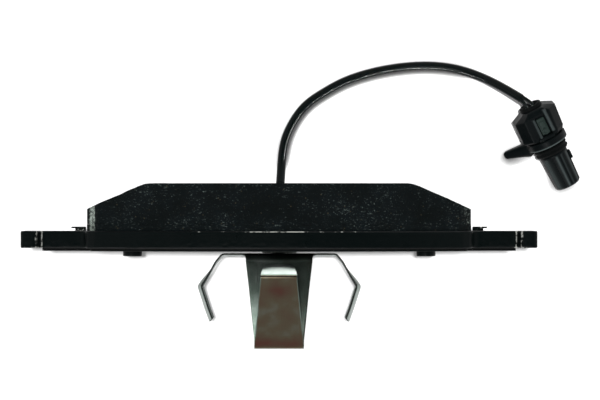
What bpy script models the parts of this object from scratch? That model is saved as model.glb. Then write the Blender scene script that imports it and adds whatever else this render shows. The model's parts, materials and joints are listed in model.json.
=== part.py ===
"""Inner disc brake pad with a riveted piston clip and a wear-sensor lead.

The pad stands on its inner edge. X runs along the pad, +Y points from the backing plate to the brake disc,
+Z points up to the outer edge, and Z = 0 is the surface that the pad stands on. The dimensions below are in
millimetres, and MM turns them to metres. A depth through the pad is written t and counted from the front
face of the backing plate, where the friction material starts: + towards the disc, - towards the piston.
"""

import math

import bmesh
import bpy
import numpy as np
from mathutils import Matrix, Vector

MM = 0.001

# --- the pad ------------------------------------------------------------------------------------------
PAD_LENGTH = 155.2
PAD_HEIGHT = 66.4
PAD_DEPTH = 20.3  # from the back of the shim to the friction face
SHIM_STACK = 0.9  # damping layer and steel shim together
PLATE_DEPTH = 5.1
FRICTION_DEPTH = PAD_DEPTH - SHIM_STACK - PLATE_DEPTH
UNDERLAYER_DEPTH = 2.0
DAMPING_DEPTH = 0.28
SKIN_GAP = 0.06  # between layers that are bonded face to face
FIT_GAP = 0.3  # round a piece that sits in another

EDGE_RADIUS = 145.0  # of the outer edge
BODY_HALF = 58.0  # half length of the plate behind the friction block
ARM_ROOT_LOW = 57.2  # half length of the body just under the arms
ARM_HALF = 71.3  # where the arms reach the ears
EAR_Z = 39.5
EAR_RISE = 10.0  # half height of an ear
ARM_RISE = 5.5  # half height of an arm
FOOT_OUT, FOOT_IN = 50.0, 37.0
ARCH_TOP = 10.5
PLATE_EDGE = 0.35  # rounding of the stamped edge

FRICTION_HALF = 57.6
FRICTION_INSET = 1.4
FRICTION_ARCH_TOP = 11.5
CHAMFER_HALF = 39.8  # half length of the flat friction face
CHAMFER_LOW = 6.5  # depth that is left at the ends of the block
END_BAND = (3.5, 4.6)  # length and height of the sloped corners of the outer edge

PEG_X, PEG_RADIUS, PEG_T = 44.6, 2.9, -7.8
PISTON_Z = 33.0  # height of the piston's axis, where the clip is riveted
SHIM_HALF = 71.4
SHIM_INSET = 1.5
CLAW_IN, CLAW_STEM, CLAW_OUT, CLAW_T = 58.7, 62.0, 62.95, 1.25
CLAW_SHEET = 0.5

# --- the piston clip ----------------------------------------------------------------------------------
SHEET = 0.45
CLIP_T = -7.0  # middle of the base sheet
CLIP_HALF_HEIGHT = 7.5
BORE_RADIUS = 24.5  # of the hollow piston that the fingers press into
ARM_END, FINGER_START = 16.2, 16.55
LEG_HALF = 10.05
LEG_BEND = 2.2
LEG_Z, LEG_TIP_Z = 43.4, 42.0
FOLD_RADIUS, FOLD_TIP_T, FOLD_HALF = 1.35, -35.5, 7.5
FOLD_SPLIT = math.radians(100.0)  # where the fold's own joint is
CREASE_T, CREASE_Z, CREASE_HALF = -13.9, 57.0, 5.5
LIP_T, LIP_Z, LIP_CORNER = -10.4, 54.6, 2.2
WASHER_RADIUS = 5.3
RIVET_RADIUS, RIVET_HEAD, RIVET_RISE = 2.0, 3.9, 1.3
RIVET_DEPTH = 3.0  # how far its shank goes into the plate

# --- the sensor and its lead --------------------------------------------------------------------------
SENSOR_HALF = 3.2
SENSOR_PROBE = (0.4, 10.0, 10.2, 21.0)  # t from and to, z from and to
SENSOR_BLOCK = (0.8, 9.2, 4.6, 10.6)
SENSOR_BLOCK_HALF = 4.5
SENSOR_LUG_T, SENSOR_LUG_TOP = -4.6, 13.6
SLEEVE_FROM, SLEEVE_TO = (0.0, 9.5, 7.4), (0.12, 14.1, 5.15)
CABLE_WIDTH = 2.7
CORE_RADIUS = 0.62
CORE_STRETCH = 4.6  # the two cores run apart over this last stretch

# The lead from the sensor's sleeve to the plug, as x, t, z. It leaves under the arch, drops to the surface,
# lies on it in one open bend and climbs into the plug, which is propped up by its lever.
CABLE_ROUTE = (
    (0.15, 14.4, 5.0), (0.35, 17.6, 3.4), (0.65, 22.0, 1.9), (1.83, 28.7, 1.4), (3.74, 33.9, 1.4),
    (8.52, 38.9, 1.4), (13.5, 42.7, 1.4), (19.1, 45.8, 1.4), (27.0, 48.65, 1.4), (37.5, 50.7, 1.4),
    (45.5, 51.2, 1.4), (53.5, 50.5, 1.6), (61.4, 48.2, 3.0), (69.2, 44.3, 7.0), (73.6, 41.6, 9.6),
    (76.6, 39.35, 10.75), (78.0, 37.67, 10.45),
)

# --- the plug, in its own frame: a along its axis from the cable's entry, b across, n upwards ---------------
PLUG_ENTRY = (78.0, 37.67, 10.45)  # x, t, z
PLUG_HEADING = (0.4555, -0.8902)  # of a, along the surface
PLUG_TILT = math.radians(13.0)  # how far a points down
HEAD_END = 9.6
NECK_RADIUS, RING_RADIUS, RING_FROM, RING_TO = 4.9, 6.35, 10.0, 12.4
SEAL_SEAT, SEAL_RADIUS, SEAL_FROM, SEAL_TO = 4.1, 5.4, 12.8, 15.4
BARREL_RADIUS, BARREL_TIP_RADIUS, PLUG_LENGTH = 4.45, 4.0, 27.0
LEVER_REACH, LEVER_DROP = 15.4, math.radians(28.0)
TERMINAL_B, BORE_HALF, TERMINAL_RADIUS, TERMINAL_FROM = 1.9, 0.95, 0.6, 19.0

FRONT_Y = -(FRICTION_DEPTH + FOLD_TIP_T) / 2  # puts the middle of the pad and clip on Y = 0
ROUND = 32  # sides of a round piece


# --- helpers ------------------------------------------------------------------------------------------
def clear_scene():
    for obj in list(bpy.data.objects):
        bpy.data.objects.remove(obj)


def look(name, colour, roughness, metallic=0.0):
    material = bpy.data.materials.new(name)
    material.use_nodes = True
    shader = material.node_tree.nodes["Principled BSDF"]
    shader.inputs["Base Color"].default_value = (*colour, 1.0)
    shader.inputs["Roughness"].default_value = roughness
    shader.inputs["Metallic"].default_value = metallic
    return material


def link(name, data, material, parent=None, origin=(0, 0, 0)):
    obj = bpy.data.objects.new(name, data)
    bpy.context.scene.collection.objects.link(obj)
    obj.location = Vector(origin) * MM
    obj.parent = parent
    if material:
        data.materials.append(material)
    return obj


def solid(name, points, faces, material, parent=None, origin=(0, 0, 0)):
    """An object from points in millimetres. Its own origin is at the given point, such as a joint's axis."""
    mesh = bpy.data.meshes.new(name)
    mesh.from_pydata([(Vector(p) - Vector(origin)) * MM for p in points], [], faces)
    shape = bmesh.new()
    shape.from_mesh(mesh)
    bmesh.ops.remove_doubles(shape, verts=shape.verts, dist=1e-6)
    bmesh.ops.recalc_face_normals(shape, faces=shape.faces)
    shape.to_mesh(mesh)
    shape.free()
    return link(name, mesh, material, parent, origin)


def boolean(target, operation, *tools):
    for tool in tools:
        modifier = target.modifiers.new(tool.name, "BOOLEAN")
        modifier.operation = operation
        modifier.object = tool
        tool.hide_render = True
        tool.display_type = "WIRE"
    return target


def smooth(obj, degrees=35.0):
    obj.data.shade_smooth()
    obj.data.set_sharp_from_angle(angle=math.radians(degrees))
    return obj


def arc(centre, radius, start, end, steps):
    """Points on a circle, from one angle to another, in radians from the first axis."""
    angles = np.linspace(start, end, steps + 1)
    return [(centre[0] + radius * math.cos(a), centre[1] + radius * math.sin(a)) for a in angles]


def rounded(corners, steps=4):
    """A chain of points (u, v, radius) with a tangent arc in place of each corner that has a radius."""
    chain = [tuple(corners[0][:2])]
    for before, corner, after in zip(corners, corners[1:], corners[2:]):
        radius = corner[2]
        here, back, on = (Vector(p[:2]) for p in (corner, before, after))
        back, on = (back - here).normalized(), (on - here).normalized()
        if not radius:
            chain.append(tuple(here))
            continue
        half = back.angle(on) / 2
        centre = here + (back + on).normalized() * radius / math.sin(half)
        first = here + back * radius / math.tan(half) - centre
        last = here + on * radius / math.tan(half) - centre
        turn = first.angle_signed(last)
        for step in range(steps + 1):
            chain.append(tuple(centre + Matrix.Rotation(-turn * step / steps, 2) @ first))
    return chain + [tuple(corners[-1][:2])]


def mirrored(half):
    """Closes a chain that runs from the top edge's middle, down the +X side, to the bottom's middle."""
    return half + [(-x, z) for x, z in reversed(half) if x > 1e-6]


def inset(outline, distance):
    """The closed outline moved inwards by a distance, with mitred corners."""
    p = np.array(outline)
    along = np.roll(p, -1, axis=0) - p
    along /= np.linalg.norm(along, axis=1)[:, None]
    inward = np.stack([along[:, 1], -along[:, 0]], axis=1)
    total = inward + np.roll(inward, 1, axis=0)
    return p + distance * 2 * total / (total * total).sum(1)[:, None]


def slab(name, outline, t_from, t_to, material=None, edge=0.0):
    """An outline in x and z, clockwise seen from the piston, made solid from one depth to another."""
    plain, small = np.array(outline), inset(outline, edge) if edge else None
    rings = [(plain, t_from), (plain, t_to)]
    if edge:
        rings = [(small, t_from), (plain, t_from + edge), (plain, t_to - edge), (small, t_to)]
    points = [(x, FRONT_Y + t, z) for ring, t in rings for x, z in ring]
    count = len(plain)
    faces = [tuple(range(count)), tuple(range(len(points) - 1, len(points) - 1 - count, -1))]
    for level in range(len(rings) - 1):
        for i in range(count):
            j = (i + 1) % count
            low, high = level * count, (level + 1) * count
            faces.append((low + i, low + j, high + j, high + i))
    return solid(name, points, faces, material)


def block(name, low, high, material=None, parent=None):
    """A box between two corners."""
    points = [(x, y, z) for x in (low[0], high[0]) for y in (low[1], high[1]) for z in (low[2], high[2])]
    faces = [(0, 1, 3, 2), (4, 6, 7, 5), (0, 4, 5, 1), (2, 3, 7, 6), (0, 2, 6, 4), (1, 5, 7, 3)]
    return solid(name, points, faces, material, parent)


def t_block(name, x, t, z, material=None):
    """A box in the pad, from its ranges of x, t and z."""
    return block(name, (x[0], FRONT_Y + t[0], z[0]), (x[1], FRONT_Y + t[1], z[1]), material)


def turned(name, profile, axis_from, direction, material=None, parent=None, origin=(0, 0, 0), sides=ROUND):
    """A closed profile of (distance along, radius) turned about an axis. A radius of 0 closes on the axis."""
    along = Vector(direction).normalized()
    side = along.orthogonal().normalized()
    up = along.cross(side)
    points, rings = [], []
    for a, r in profile:
        turns = sides if r > 0 else 1
        rings.append((len(points), turns))
        for i in range(turns):
            angle = 2 * math.pi * i / sides
            spot = Vector(axis_from) + along * a + (side * math.cos(angle) + up * math.sin(angle)) * r
            points.append(spot)
    faces = []
    for (low, few), (high, many) in zip(rings, rings[1:] + rings[:1]):
        for i in range(sides):
            corners = (low + i % few, low + (i + 1) % few, high + (i + 1) % many, high + i % many)
            corners = tuple(dict.fromkeys(corners))
            if len(corners) > 2:
                faces.append(corners)
    return solid(name, points, faces, material, parent, origin)


def sheet(name, rows, material, origin=(0, 0, 0)):
    """Bent sheet metal: rows of points of one length each on its middle surface, given a thickness."""
    points = [p for row in rows for p in row]
    faces = []
    start = 0
    for row, following in zip(rows, rows[1:]):
        wide, next_wide = len(row), len(following)
        skip, next_skip = max(0, (wide - next_wide) // 2), max(0, (next_wide - wide) // 2)
        for i in range(min(wide, next_wide) - 1):
            low, high = start + skip + i, start + wide + next_skip + i
            faces.append((low, low + 1, high + 1, high))
        start += wide
    obj = solid(name, points, faces, material, origin=origin)
    wall = obj.modifiers.new("Sheet", "SOLIDIFY")
    wall.thickness = SHEET * MM
    wall.offset = 0.0
    wall.use_even_offset = True
    return smooth(obj)


def natural_curve(points, count):
    """Evenly spaced points on the natural cubic spline through the given points."""
    p = np.array(points, float)
    chord = np.r_[0, np.cumsum(np.linalg.norm(np.diff(p, axis=0), axis=1))]
    step = np.diff(chord)
    system, right = np.eye(len(p)), np.zeros_like(p)
    for i in range(1, len(p) - 1):
        system[i, i - 1 : i + 2] = step[i - 1], 2 * (step[i - 1] + step[i]), step[i]
        right[i] = 6 * ((p[i + 1] - p[i]) / step[i] - (p[i] - p[i - 1]) / step[i - 1])
    bend = np.linalg.solve(system, right)
    fine = np.linspace(0, chord[-1], 2000)
    k = np.clip(np.searchsorted(chord, fine) - 1, 0, len(p) - 2)
    h = step[k][:, None]
    u, v = (chord[k + 1] - fine)[:, None], (fine - chord[k])[:, None]
    line = (bend[k] * u**3 + bend[k + 1] * v**3) / (6 * h)
    line += (p[k] / h - bend[k] * h / 6) * u + (p[k + 1] / h - bend[k + 1] * h / 6) * v
    run = np.r_[0, np.cumsum(np.linalg.norm(np.diff(line, axis=0), axis=1))]
    at = np.linspace(0, run[-1], count)
    return np.stack([np.interp(at, run, line[:, axis]) for axis in range(3)], axis=1), run[-1]


def tube(name, points, radius, material):
    """A round cord along points in millimetres."""
    curve = bpy.data.curves.new(name, "CURVE")
    curve.dimensions = "3D"
    curve.bevel_depth = radius * MM
    curve.bevel_resolution = 2
    curve.use_fill_caps = True
    line = curve.splines.new("POLY")
    line.points.add(len(points) - 1)
    for spot, p in zip(line.points, points):
        spot.co = (*(Vector(p) * MM), 1.0)
    return link(name, curve, material)


# --- outlines -----------------------------------------------------------------------------------------
def edge_arc(half, drop=0.0, steps=12):
    """The outer edge from the middle to a half length, moved inwards by drop."""
    radius = EDGE_RADIUS - drop
    centre = (0.0, PAD_HEIGHT - EDGE_RADIUS)
    return arc(centre, radius, math.pi / 2, math.acos(half / radius), steps)


def arch(half, top, foot_z, steps=10):
    """The arch of the inner edge from a foot to the middle."""
    rise = top - foot_z
    radius = (half * half + rise * rise) / (2 * rise)
    centre = (0.0, top - radius)
    return arc(centre, radius, math.acos(half / radius), math.pi / 2, steps)


def plate_outline():
    step = 1.6  # length of the slope from an arm up to an ear
    corners = [(*edge_arc(55.0)[-1], 0), (BODY_HALF, 53.4, 2.5), (BODY_HALF - 0.4, EAR_Z + ARM_RISE, 3.0)]
    corners += [(ARM_HALF, EAR_Z + ARM_RISE, 1.2), (ARM_HALF + step, EAR_Z + EAR_RISE, 1.0)]
    corners += [(PAD_LENGTH / 2, EAR_Z + EAR_RISE, 1.5), (PAD_LENGTH / 2, EAR_Z - EAR_RISE, 1.5)]
    corners += [(ARM_HALF + step, EAR_Z - EAR_RISE, 1.0), (ARM_HALF, EAR_Z - ARM_RISE, 1.2)]
    corners += [(ARM_ROOT_LOW, EAR_Z - ARM_RISE, 1.0), (FOOT_OUT, 0.0, 1.5), (FOOT_IN, 0.0, 0)]
    return mirrored(edge_arc(55.0)[:-1] + rounded(corners)[:-1] + arch(FOOT_IN, ARCH_TOP, 0.0))


def friction_outline():
    band_long, band_high = END_BAND
    band_x = FRICTION_HALF - band_long
    band_z = edge_arc(band_x, FRICTION_INSET)[-1][1]
    foot_in = FOOT_IN + 1.0
    corners = [(band_x, band_z, 0), (FRICTION_HALF, band_z - band_high, 1.2)]
    corners += [(FOOT_OUT - 0.8, 0.0, 1.2), (foot_in, 0.0, 0)]
    start = edge_arc(band_x, FRICTION_INSET)[:-1]
    return mirrored(start + rounded(corners)[:-1] + arch(foot_in, FRICTION_ARCH_TOP, 0.0))


def shim_outline():
    body, foot_z, root_z = BODY_HALF - SHIM_INSET, 2.0, EAR_Z + ARM_RISE - 1.0
    start = edge_arc(53.0, SHIM_INSET)
    corners = [(*start[-1], 0), (body, start[-1][1] - 2.4, 2.0), (body, root_z, 2.5)]
    corners += [(SHIM_HALF, root_z, 1.0), (SHIM_HALF, EAR_Z - ARM_RISE + 1.0, 1.0)]
    corners += [(ARM_ROOT_LOW - 1.5, EAR_Z - ARM_RISE + 1.0, 1.0), (FOOT_OUT - SHIM_INSET, foot_z, 1.5)]
    corners += [(FOOT_IN + 1.5, foot_z, 0)]
    return mirrored(start[:-1] + rounded(corners)[:-1] + arch(FOOT_IN + 1.5, ARCH_TOP + 1.5, foot_z))


# --- the pad's pieces ---------------------------------------------------------------------------------
def peg(name, x, radius, t_from, t_to):
    return turned(name, [(t_from, 0), (t_from, radius), (t_to, radius), (t_to, 0)],
                  (x, FRONT_Y, PISTON_Z), (0, 1, 0))


def backing_plate(paint):
    plate = slab("backing_plate", plate_outline(), -PLATE_DEPTH, 0.0, paint, PLATE_EDGE)
    notch = SENSOR_HALF - 0.2
    boolean(plate, "DIFFERENCE",
            peg("cut_rivet_pocket", 0.0, RIVET_RADIUS + FIT_GAP,
                -PLATE_DEPTH - 1.0, -PLATE_DEPTH + RIVET_DEPTH),
            t_block("cut_sensor_notch", (-notch, notch), (-9, 9), (2, SENSOR_LUG_TOP + 0.4)))
    boolean(plate, "UNION", *(peg(f"add_peg_{side}", sign * PEG_X, PEG_RADIUS, PEG_T, -PLATE_DEPTH + 2.0)
                              for side, sign in (("left", -1), ("right", 1))))
    return smooth(plate)


def sensor_pocket():
    """The slot that the sensor's probe fills, open only towards the arch."""
    t_to, z_to = SENSOR_PROBE[1] + 0.4, SENSOR_PROBE[3] + 0.4
    half = SENSOR_HALF + FIT_GAP
    return t_block("cut_sensor_pocket", (-half, half), (-0.5, t_to), (3.0, z_to))


def friction_parts(friction, underlayer, pocket):
    layer = slab("friction_underlayer", friction_outline(), SKIN_GAP, UNDERLAYER_DEPTH, underlayer)
    block_from = UNDERLAYER_DEPTH + SKIN_GAP
    body = slab("friction_block", friction_outline(), block_from, FRICTION_DEPTH + 1.0, friction)
    half = [(0.0, FRICTION_DEPTH, 0), (CHAMFER_HALF, FRICTION_DEPTH, 10.0), (FRICTION_HALF, CHAMFER_LOW, 2.5),
            (FRICTION_HALF, 0.0, 0), (0.0, 0.0, 0)]
    side = mirrored(rounded(half, 6)[:-1])
    count = len(side)
    points = [(x, FRONT_Y + t, z) for z in (-1.0, PAD_HEIGHT + 1.0) for x, t in side]
    faces = [tuple(range(count)), tuple(range(2 * count - 1, count - 1, -1))]
    faces += [(i, (i + 1) % count, count + (i + 1) % count, count + i) for i in range(count)]
    boolean(body, "INTERSECT", solid("keep_chamfered", points, faces, None))
    for piece in (layer, body):
        boolean(piece, "DIFFERENCE", pocket)
        smooth(piece)


def shim_parts(rubber, painted_shim):
    damping_to = -PLATE_DEPTH - SKIN_GAP
    damping_from = damping_to - DAMPING_DEPTH
    shim_to, shim_from = damping_from - SKIN_GAP, -PLATE_DEPTH - SHIM_STACK
    layer = slab("shim_damping_layer", shim_outline(), damping_from, damping_to, rubber)
    shim = slab("shim_plate", shim_outline(), shim_from, shim_to, painted_shim)
    holes = [peg("cut_shim_centre", 0.0, RIVET_RADIUS + FIT_GAP, -9, 0)]
    holes += [peg(f"cut_shim_{side}", sign * PEG_X, PEG_RADIUS + FIT_GAP, -9, 0)
              for side, sign in (("left", -1), ("right", 1))]
    boolean(layer, "DIFFERENCE", *holes)
    boolean(shim, "DIFFERENCE", *holes)
    # Each claw leaves the arm of the shim, passes under the arm of the plate and hooks up in front of it.
    under = EAR_Z - ARM_RISE - FIT_GAP
    for side, sign in (("left", -1), ("right", 1)):
        across = sorted((sign * CLAW_IN, sign * CLAW_STEM))
        lip = sorted((sign * CLAW_IN, sign * CLAW_OUT))
        boolean(shim, "UNION",
                t_block(f"add_claw_drop_{side}", across, (shim_from, shim_to),
                        (under - CLAW_SHEET, under + 2.5)),
                t_block(f"add_claw_floor_{side}", across, (shim_from, CLAW_T), (under - CLAW_SHEET, under)),
                t_block(f"add_claw_hook_{side}", across, (SKIN_GAP + 0.24, CLAW_T),
                        (under - 0.3, under + 4.0)),
                t_block(f"add_claw_lip_{side}", lip, (CLAW_T - CLAW_SHEET, CLAW_T), (under, under + 4.0)))
    smooth(layer)
    smooth(shim)


# --- the piston clip ----------------------------------------------------------------------------------
def clip_rows(path, stations=5):
    """Rows across a strip from (t, z, half width), with the strip lying across x."""
    return [[(x, FRONT_Y + t, z) for x in np.linspace(-half, half, stations)] for t, z, half in path]


def fold_path(start, end):
    """Stretch of the fold, from one angle of turn to another, at its full width."""
    centre_t = FOLD_TIP_T + SHEET / 2 + FOLD_RADIUS
    centre_z = LEG_TIP_Z + FOLD_RADIUS
    turns = np.linspace(start, end, max(2, round(math.degrees(end - start) / 18)) + 1)
    return [(centre_t - FOLD_RADIUS * math.sin(a), centre_z - FOLD_RADIUS * math.cos(a), FOLD_HALF)
            for a in turns]


def clip_base(steel):
    """The flat base between the fingers, the wide leg that leaves its top edge, and half of the fold."""
    low, high = PISTON_Z - CLIP_HALF_HEIGHT, PISTON_Z + CLIP_HALF_HEIGHT
    inner = np.linspace(-LEG_HALF, LEG_HALF, 5)
    rows = [[(x, FRONT_Y + CLIP_T, z) for x in (-ARM_END, *inner, ARM_END)]
            for z in np.linspace(low, high, 4)]
    bend = [(CLIP_T - LEG_BEND * (1 - math.cos(a)), LEG_Z - LEG_BEND * (1 - math.sin(a)), LEG_HALF)
            for a in np.linspace(0, math.pi / 2, 5)]
    centre_t = FOLD_TIP_T + SHEET / 2 + FOLD_RADIUS
    t = np.linspace(CLIP_T - LEG_BEND, centre_t, 6)[1:-1]
    share = (CLIP_T - LEG_BEND - t) / (CLIP_T - LEG_BEND - centre_t)
    leg = [(ti, LEG_Z + (LEG_TIP_Z - LEG_Z) * s, LEG_HALF + (FOLD_HALF - LEG_HALF) * s ** 0.8)
           for ti, s in zip(t, share)]
    rows += clip_rows(bend + leg + fold_path(0.0, FOLD_SPLIT))
    base = sheet("clip_base", rows, steel)
    hole_radius = RIVET_RADIUS + FIT_GAP
    hole = turned("cut_clip_hole", [(-3, 0), (-3, hole_radius), (3, hole_radius), (3, 0)],
                  (0, FRONT_Y + CLIP_T, PISTON_Z), (0, 1, 0))
    return boolean(base, "DIFFERENCE", hole)


def clip_tongue(steel):
    """The other half of the fold, the tongue that springs back towards the plate, and its turned-down lip."""
    centre_t = FOLD_TIP_T + SHEET / 2 + FOLD_RADIUS
    centre_z = LEG_TIP_Z + FOLD_RADIUS
    away = math.hypot(CREASE_T - centre_t, CREASE_Z - centre_z)
    rise = math.atan2(CREASE_Z - centre_z, CREASE_T - centre_t) - math.asin(FOLD_RADIUS / away)
    fold = fold_path(FOLD_SPLIT + FIT_GAP / FOLD_RADIUS, math.pi - rise)
    start_t, start_z, _ = fold[-1]
    straight = [(start_t + (CREASE_T - start_t) * s, start_z + (CREASE_Z - start_z) * s,
                 FOLD_HALF + (CREASE_HALF - FOLD_HALF) * s) for s in np.linspace(0, 1, 5)[1:]]
    lip = []
    for s in (0.4, 0.75, 1.0):
        corner = max(0.0, s - 0.4) / 0.6
        narrow = LIP_CORNER * (1 - math.sqrt(1 - corner * corner * 0.96))
        lip.append((CREASE_T + (LIP_T - CREASE_T) * s, CREASE_Z + (LIP_Z - CREASE_Z) * s,
                    CREASE_HALF - narrow))
    return sheet("clip_tongue", clip_rows(fold + straight + lip), steel,
                 origin=(0, FRONT_Y + centre_t, centre_z))


def clip_finger(name, sign, steel):
    """A side finger: out from the base, on to its widest point, and back in to a rounded end.

    Where it meets the piston it is crowned across its width, to the radius of the hollow piston.
    """
    near_edge = ((FINGER_START, CLIP_T), (17.35, -7.25), (18.15, -7.9), (19.25, -9.45), (20.7, -12.3),
                 (21.4, -13.9), (22.6, -15.75), (23.3, -16.8), (23.0, -19.0), (22.2, -21.2), (21.4, -23.4))
    crown_full = CLIP_HALF_HEIGHT**2 / (2 * BORE_RADIUS)
    across = np.linspace(-1, 1, 5)
    rows = []
    for x, t in near_edge:
        crown = crown_full * min(1.0, max(0.0, (-t - 11.5) / 5.0))
        rows.append([(sign * (x + crown * (1 - w * w)), FRONT_Y + t, PISTON_Z + CLIP_HALF_HEIGHT * w)
                     for w in across])
    rows.append([(sign * (20.45 - 0.65 * (1 - w * w) + crown_full * (1 - w * w)),
                  FRONT_Y - 26.0 - 1.9 * (1 - w * w), PISTON_Z + CLIP_HALF_HEIGHT * w) for w in across])
    return sheet(name, rows, steel, origin=(sign * ARM_END, FRONT_Y + CLIP_T, PISTON_Z))


def clip_fasteners(steel, zinc):
    shim_back, base_front, base_back = -PLATE_DEPTH - SHIM_STACK, CLIP_T + SHEET / 2, CLIP_T - SHEET / 2
    inner = RIVET_RADIUS + FIT_GAP
    washer_from, washer_to = base_front + SKIN_GAP, shim_back - SKIN_GAP
    washer = turned("clip_washer", [(washer_from, inner), (washer_from, WASHER_RADIUS - 0.15),
                                    (washer_from + 0.15, WASHER_RADIUS), (washer_to - 0.15, WASHER_RADIUS),
                                    (washer_to, WASHER_RADIUS - 0.15), (washer_to, inner)],
                    (0, FRONT_Y, PISTON_Z), (0, 1, 0), steel)
    seat = base_back - SKIN_GAP
    crown = [(seat - RIVET_RISE, 0), (seat - RIVET_RISE, RIVET_HEAD * 0.45),
             (seat - RIVET_RISE * 0.75, RIVET_HEAD * 0.8), (seat - RIVET_RISE * 0.3, RIVET_HEAD),
             (seat, RIVET_HEAD)]
    end = -PLATE_DEPTH + RIVET_DEPTH - 0.4
    shank = [(seat, RIVET_RADIUS), (end, RIVET_RADIUS), (end, 0)]
    rivet = turned("clip_rivet", crown + shank, (0, FRONT_Y, PISTON_Z), (0, 1, 0), zinc)
    smooth(washer)
    smooth(rivet)


# --- the wear sensor ----------------------------------------------------------------------------------
def wear_sensor(nylon, copper, rubber):
    t_from, t_to, z_from, z_to = SENSOR_PROBE
    housing = t_block("sensor_housing", (-SENSOR_HALF, SENSOR_HALF), (t_from, t_to), (z_from, z_to), nylon)
    bt_from, bt_to, bz_from, bz_to = SENSOR_BLOCK
    lug = SENSOR_HALF - 0.5
    boolean(housing, "UNION",
            t_block("add_block", (-SENSOR_BLOCK_HALF, SENSOR_BLOCK_HALF), (bt_from, bt_to), (bz_from, bz_to)),
            t_block("add_lug", (-lug, lug), (SENSOR_LUG_T, bt_from + 0.5), (bz_to - 1.8, SENSOR_LUG_TOP)))
    start, end = (Vector((x, FRONT_Y + t, z)) for x, t, z in (SLEEVE_FROM, SLEEVE_TO))
    long = (end - start).length
    groove = 0.75
    boolean(housing, "DIFFERENCE",
            turned("cut_sleeve_seat", [(-0.1, 0), (-0.1, 2.6), (long, 2.6), (long, 0)], start, end - start),
            t_block("cut_wire_groove", (-1.9 - groove, 1.9 + groove), (t_to - 1.5, t_to + 1),
                    (12.6, z_to + 1)),
            t_block("cut_edge_left", (-9, -SENSOR_BLOCK_HALF + 0.6), (bt_to - 0.6, 12), (0, bz_to)),
            t_block("cut_edge_right", (SENSOR_BLOCK_HALF - 0.6, 9), (bt_to - 0.6, 12), (0, bz_to)))
    depth = FRONT_Y + t_to - 0.72
    top = z_to - 0.9
    turn = arc((0.0, top - 1.6), 1.6, math.pi, 0.0, 8)
    path = [(-1.6, depth, 13.2), *((x, depth, z) for x, z in turn), (1.6, depth, 13.2)]
    tube("sensor_contact_loop", path, 0.4, copper)
    profile = [(0, 0), (0, 2.5), (long * 0.3, 2.4), (long * 0.35, 2.0), (long * 0.55, 2.0), (long * 0.6, 2.2),
               (long * 0.8, 1.9), (long, 1.6), (long, 0)]
    smooth(turned("sensor_sleeve", profile, start, end - start, rubber, sides=20))
    smooth(housing)


# --- the lead and its plug ----------------------------------------------------------------------------
def plug_matrix():
    """The plug's frame: its columns are a, b and n, and it starts where the cable enters."""
    cos, sin = math.cos(PLUG_TILT), math.sin(PLUG_TILT)
    ahead, aside = Vector((*PLUG_HEADING, 0)), Vector((-PLUG_HEADING[1], PLUG_HEADING[0], 0))
    a, n = ahead * cos - Vector((0, 0, sin)), ahead * sin + Vector((0, 0, cos))
    x, t, z = PLUG_ENTRY
    frame = Matrix((a, aside, n)).transposed().to_4x4()
    frame.translation = Vector((x, FRONT_Y + t, z)) * MM
    return frame


def lead(pvc, core_skin):
    route = [(x, FRONT_Y + t, z) for x, t, z in CABLE_ROUTE]
    line, long = natural_curve(route, 200)
    run = np.linspace(0, long, 200)
    stop = long - CORE_STRETCH
    count = round(stop / (1.6 * CABLE_WIDTH))
    at = np.linspace(0, stop, count)
    tube("cable", np.stack([np.interp(at, run, line[:, k]) for k in range(3)], axis=1), CABLE_WIDTH / 2, pvc)
    aside = np.array((-PLUG_HEADING[1], PLUG_HEADING[0], 0))
    at = np.linspace(stop + 3 * FIT_GAP, long - 1.2, 5)
    middle = np.stack([np.interp(at, run, line[:, k]) for k in range(3)], axis=1)
    spread = 0.72 + 0.35 * np.linspace(0, 1, 5)[:, None] ** 2
    tube("core_wire_left", middle - aside * spread, CORE_RADIUS, core_skin)
    tube("core_wire_right", middle + aside * spread, CORE_RADIUS, core_skin)


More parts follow.
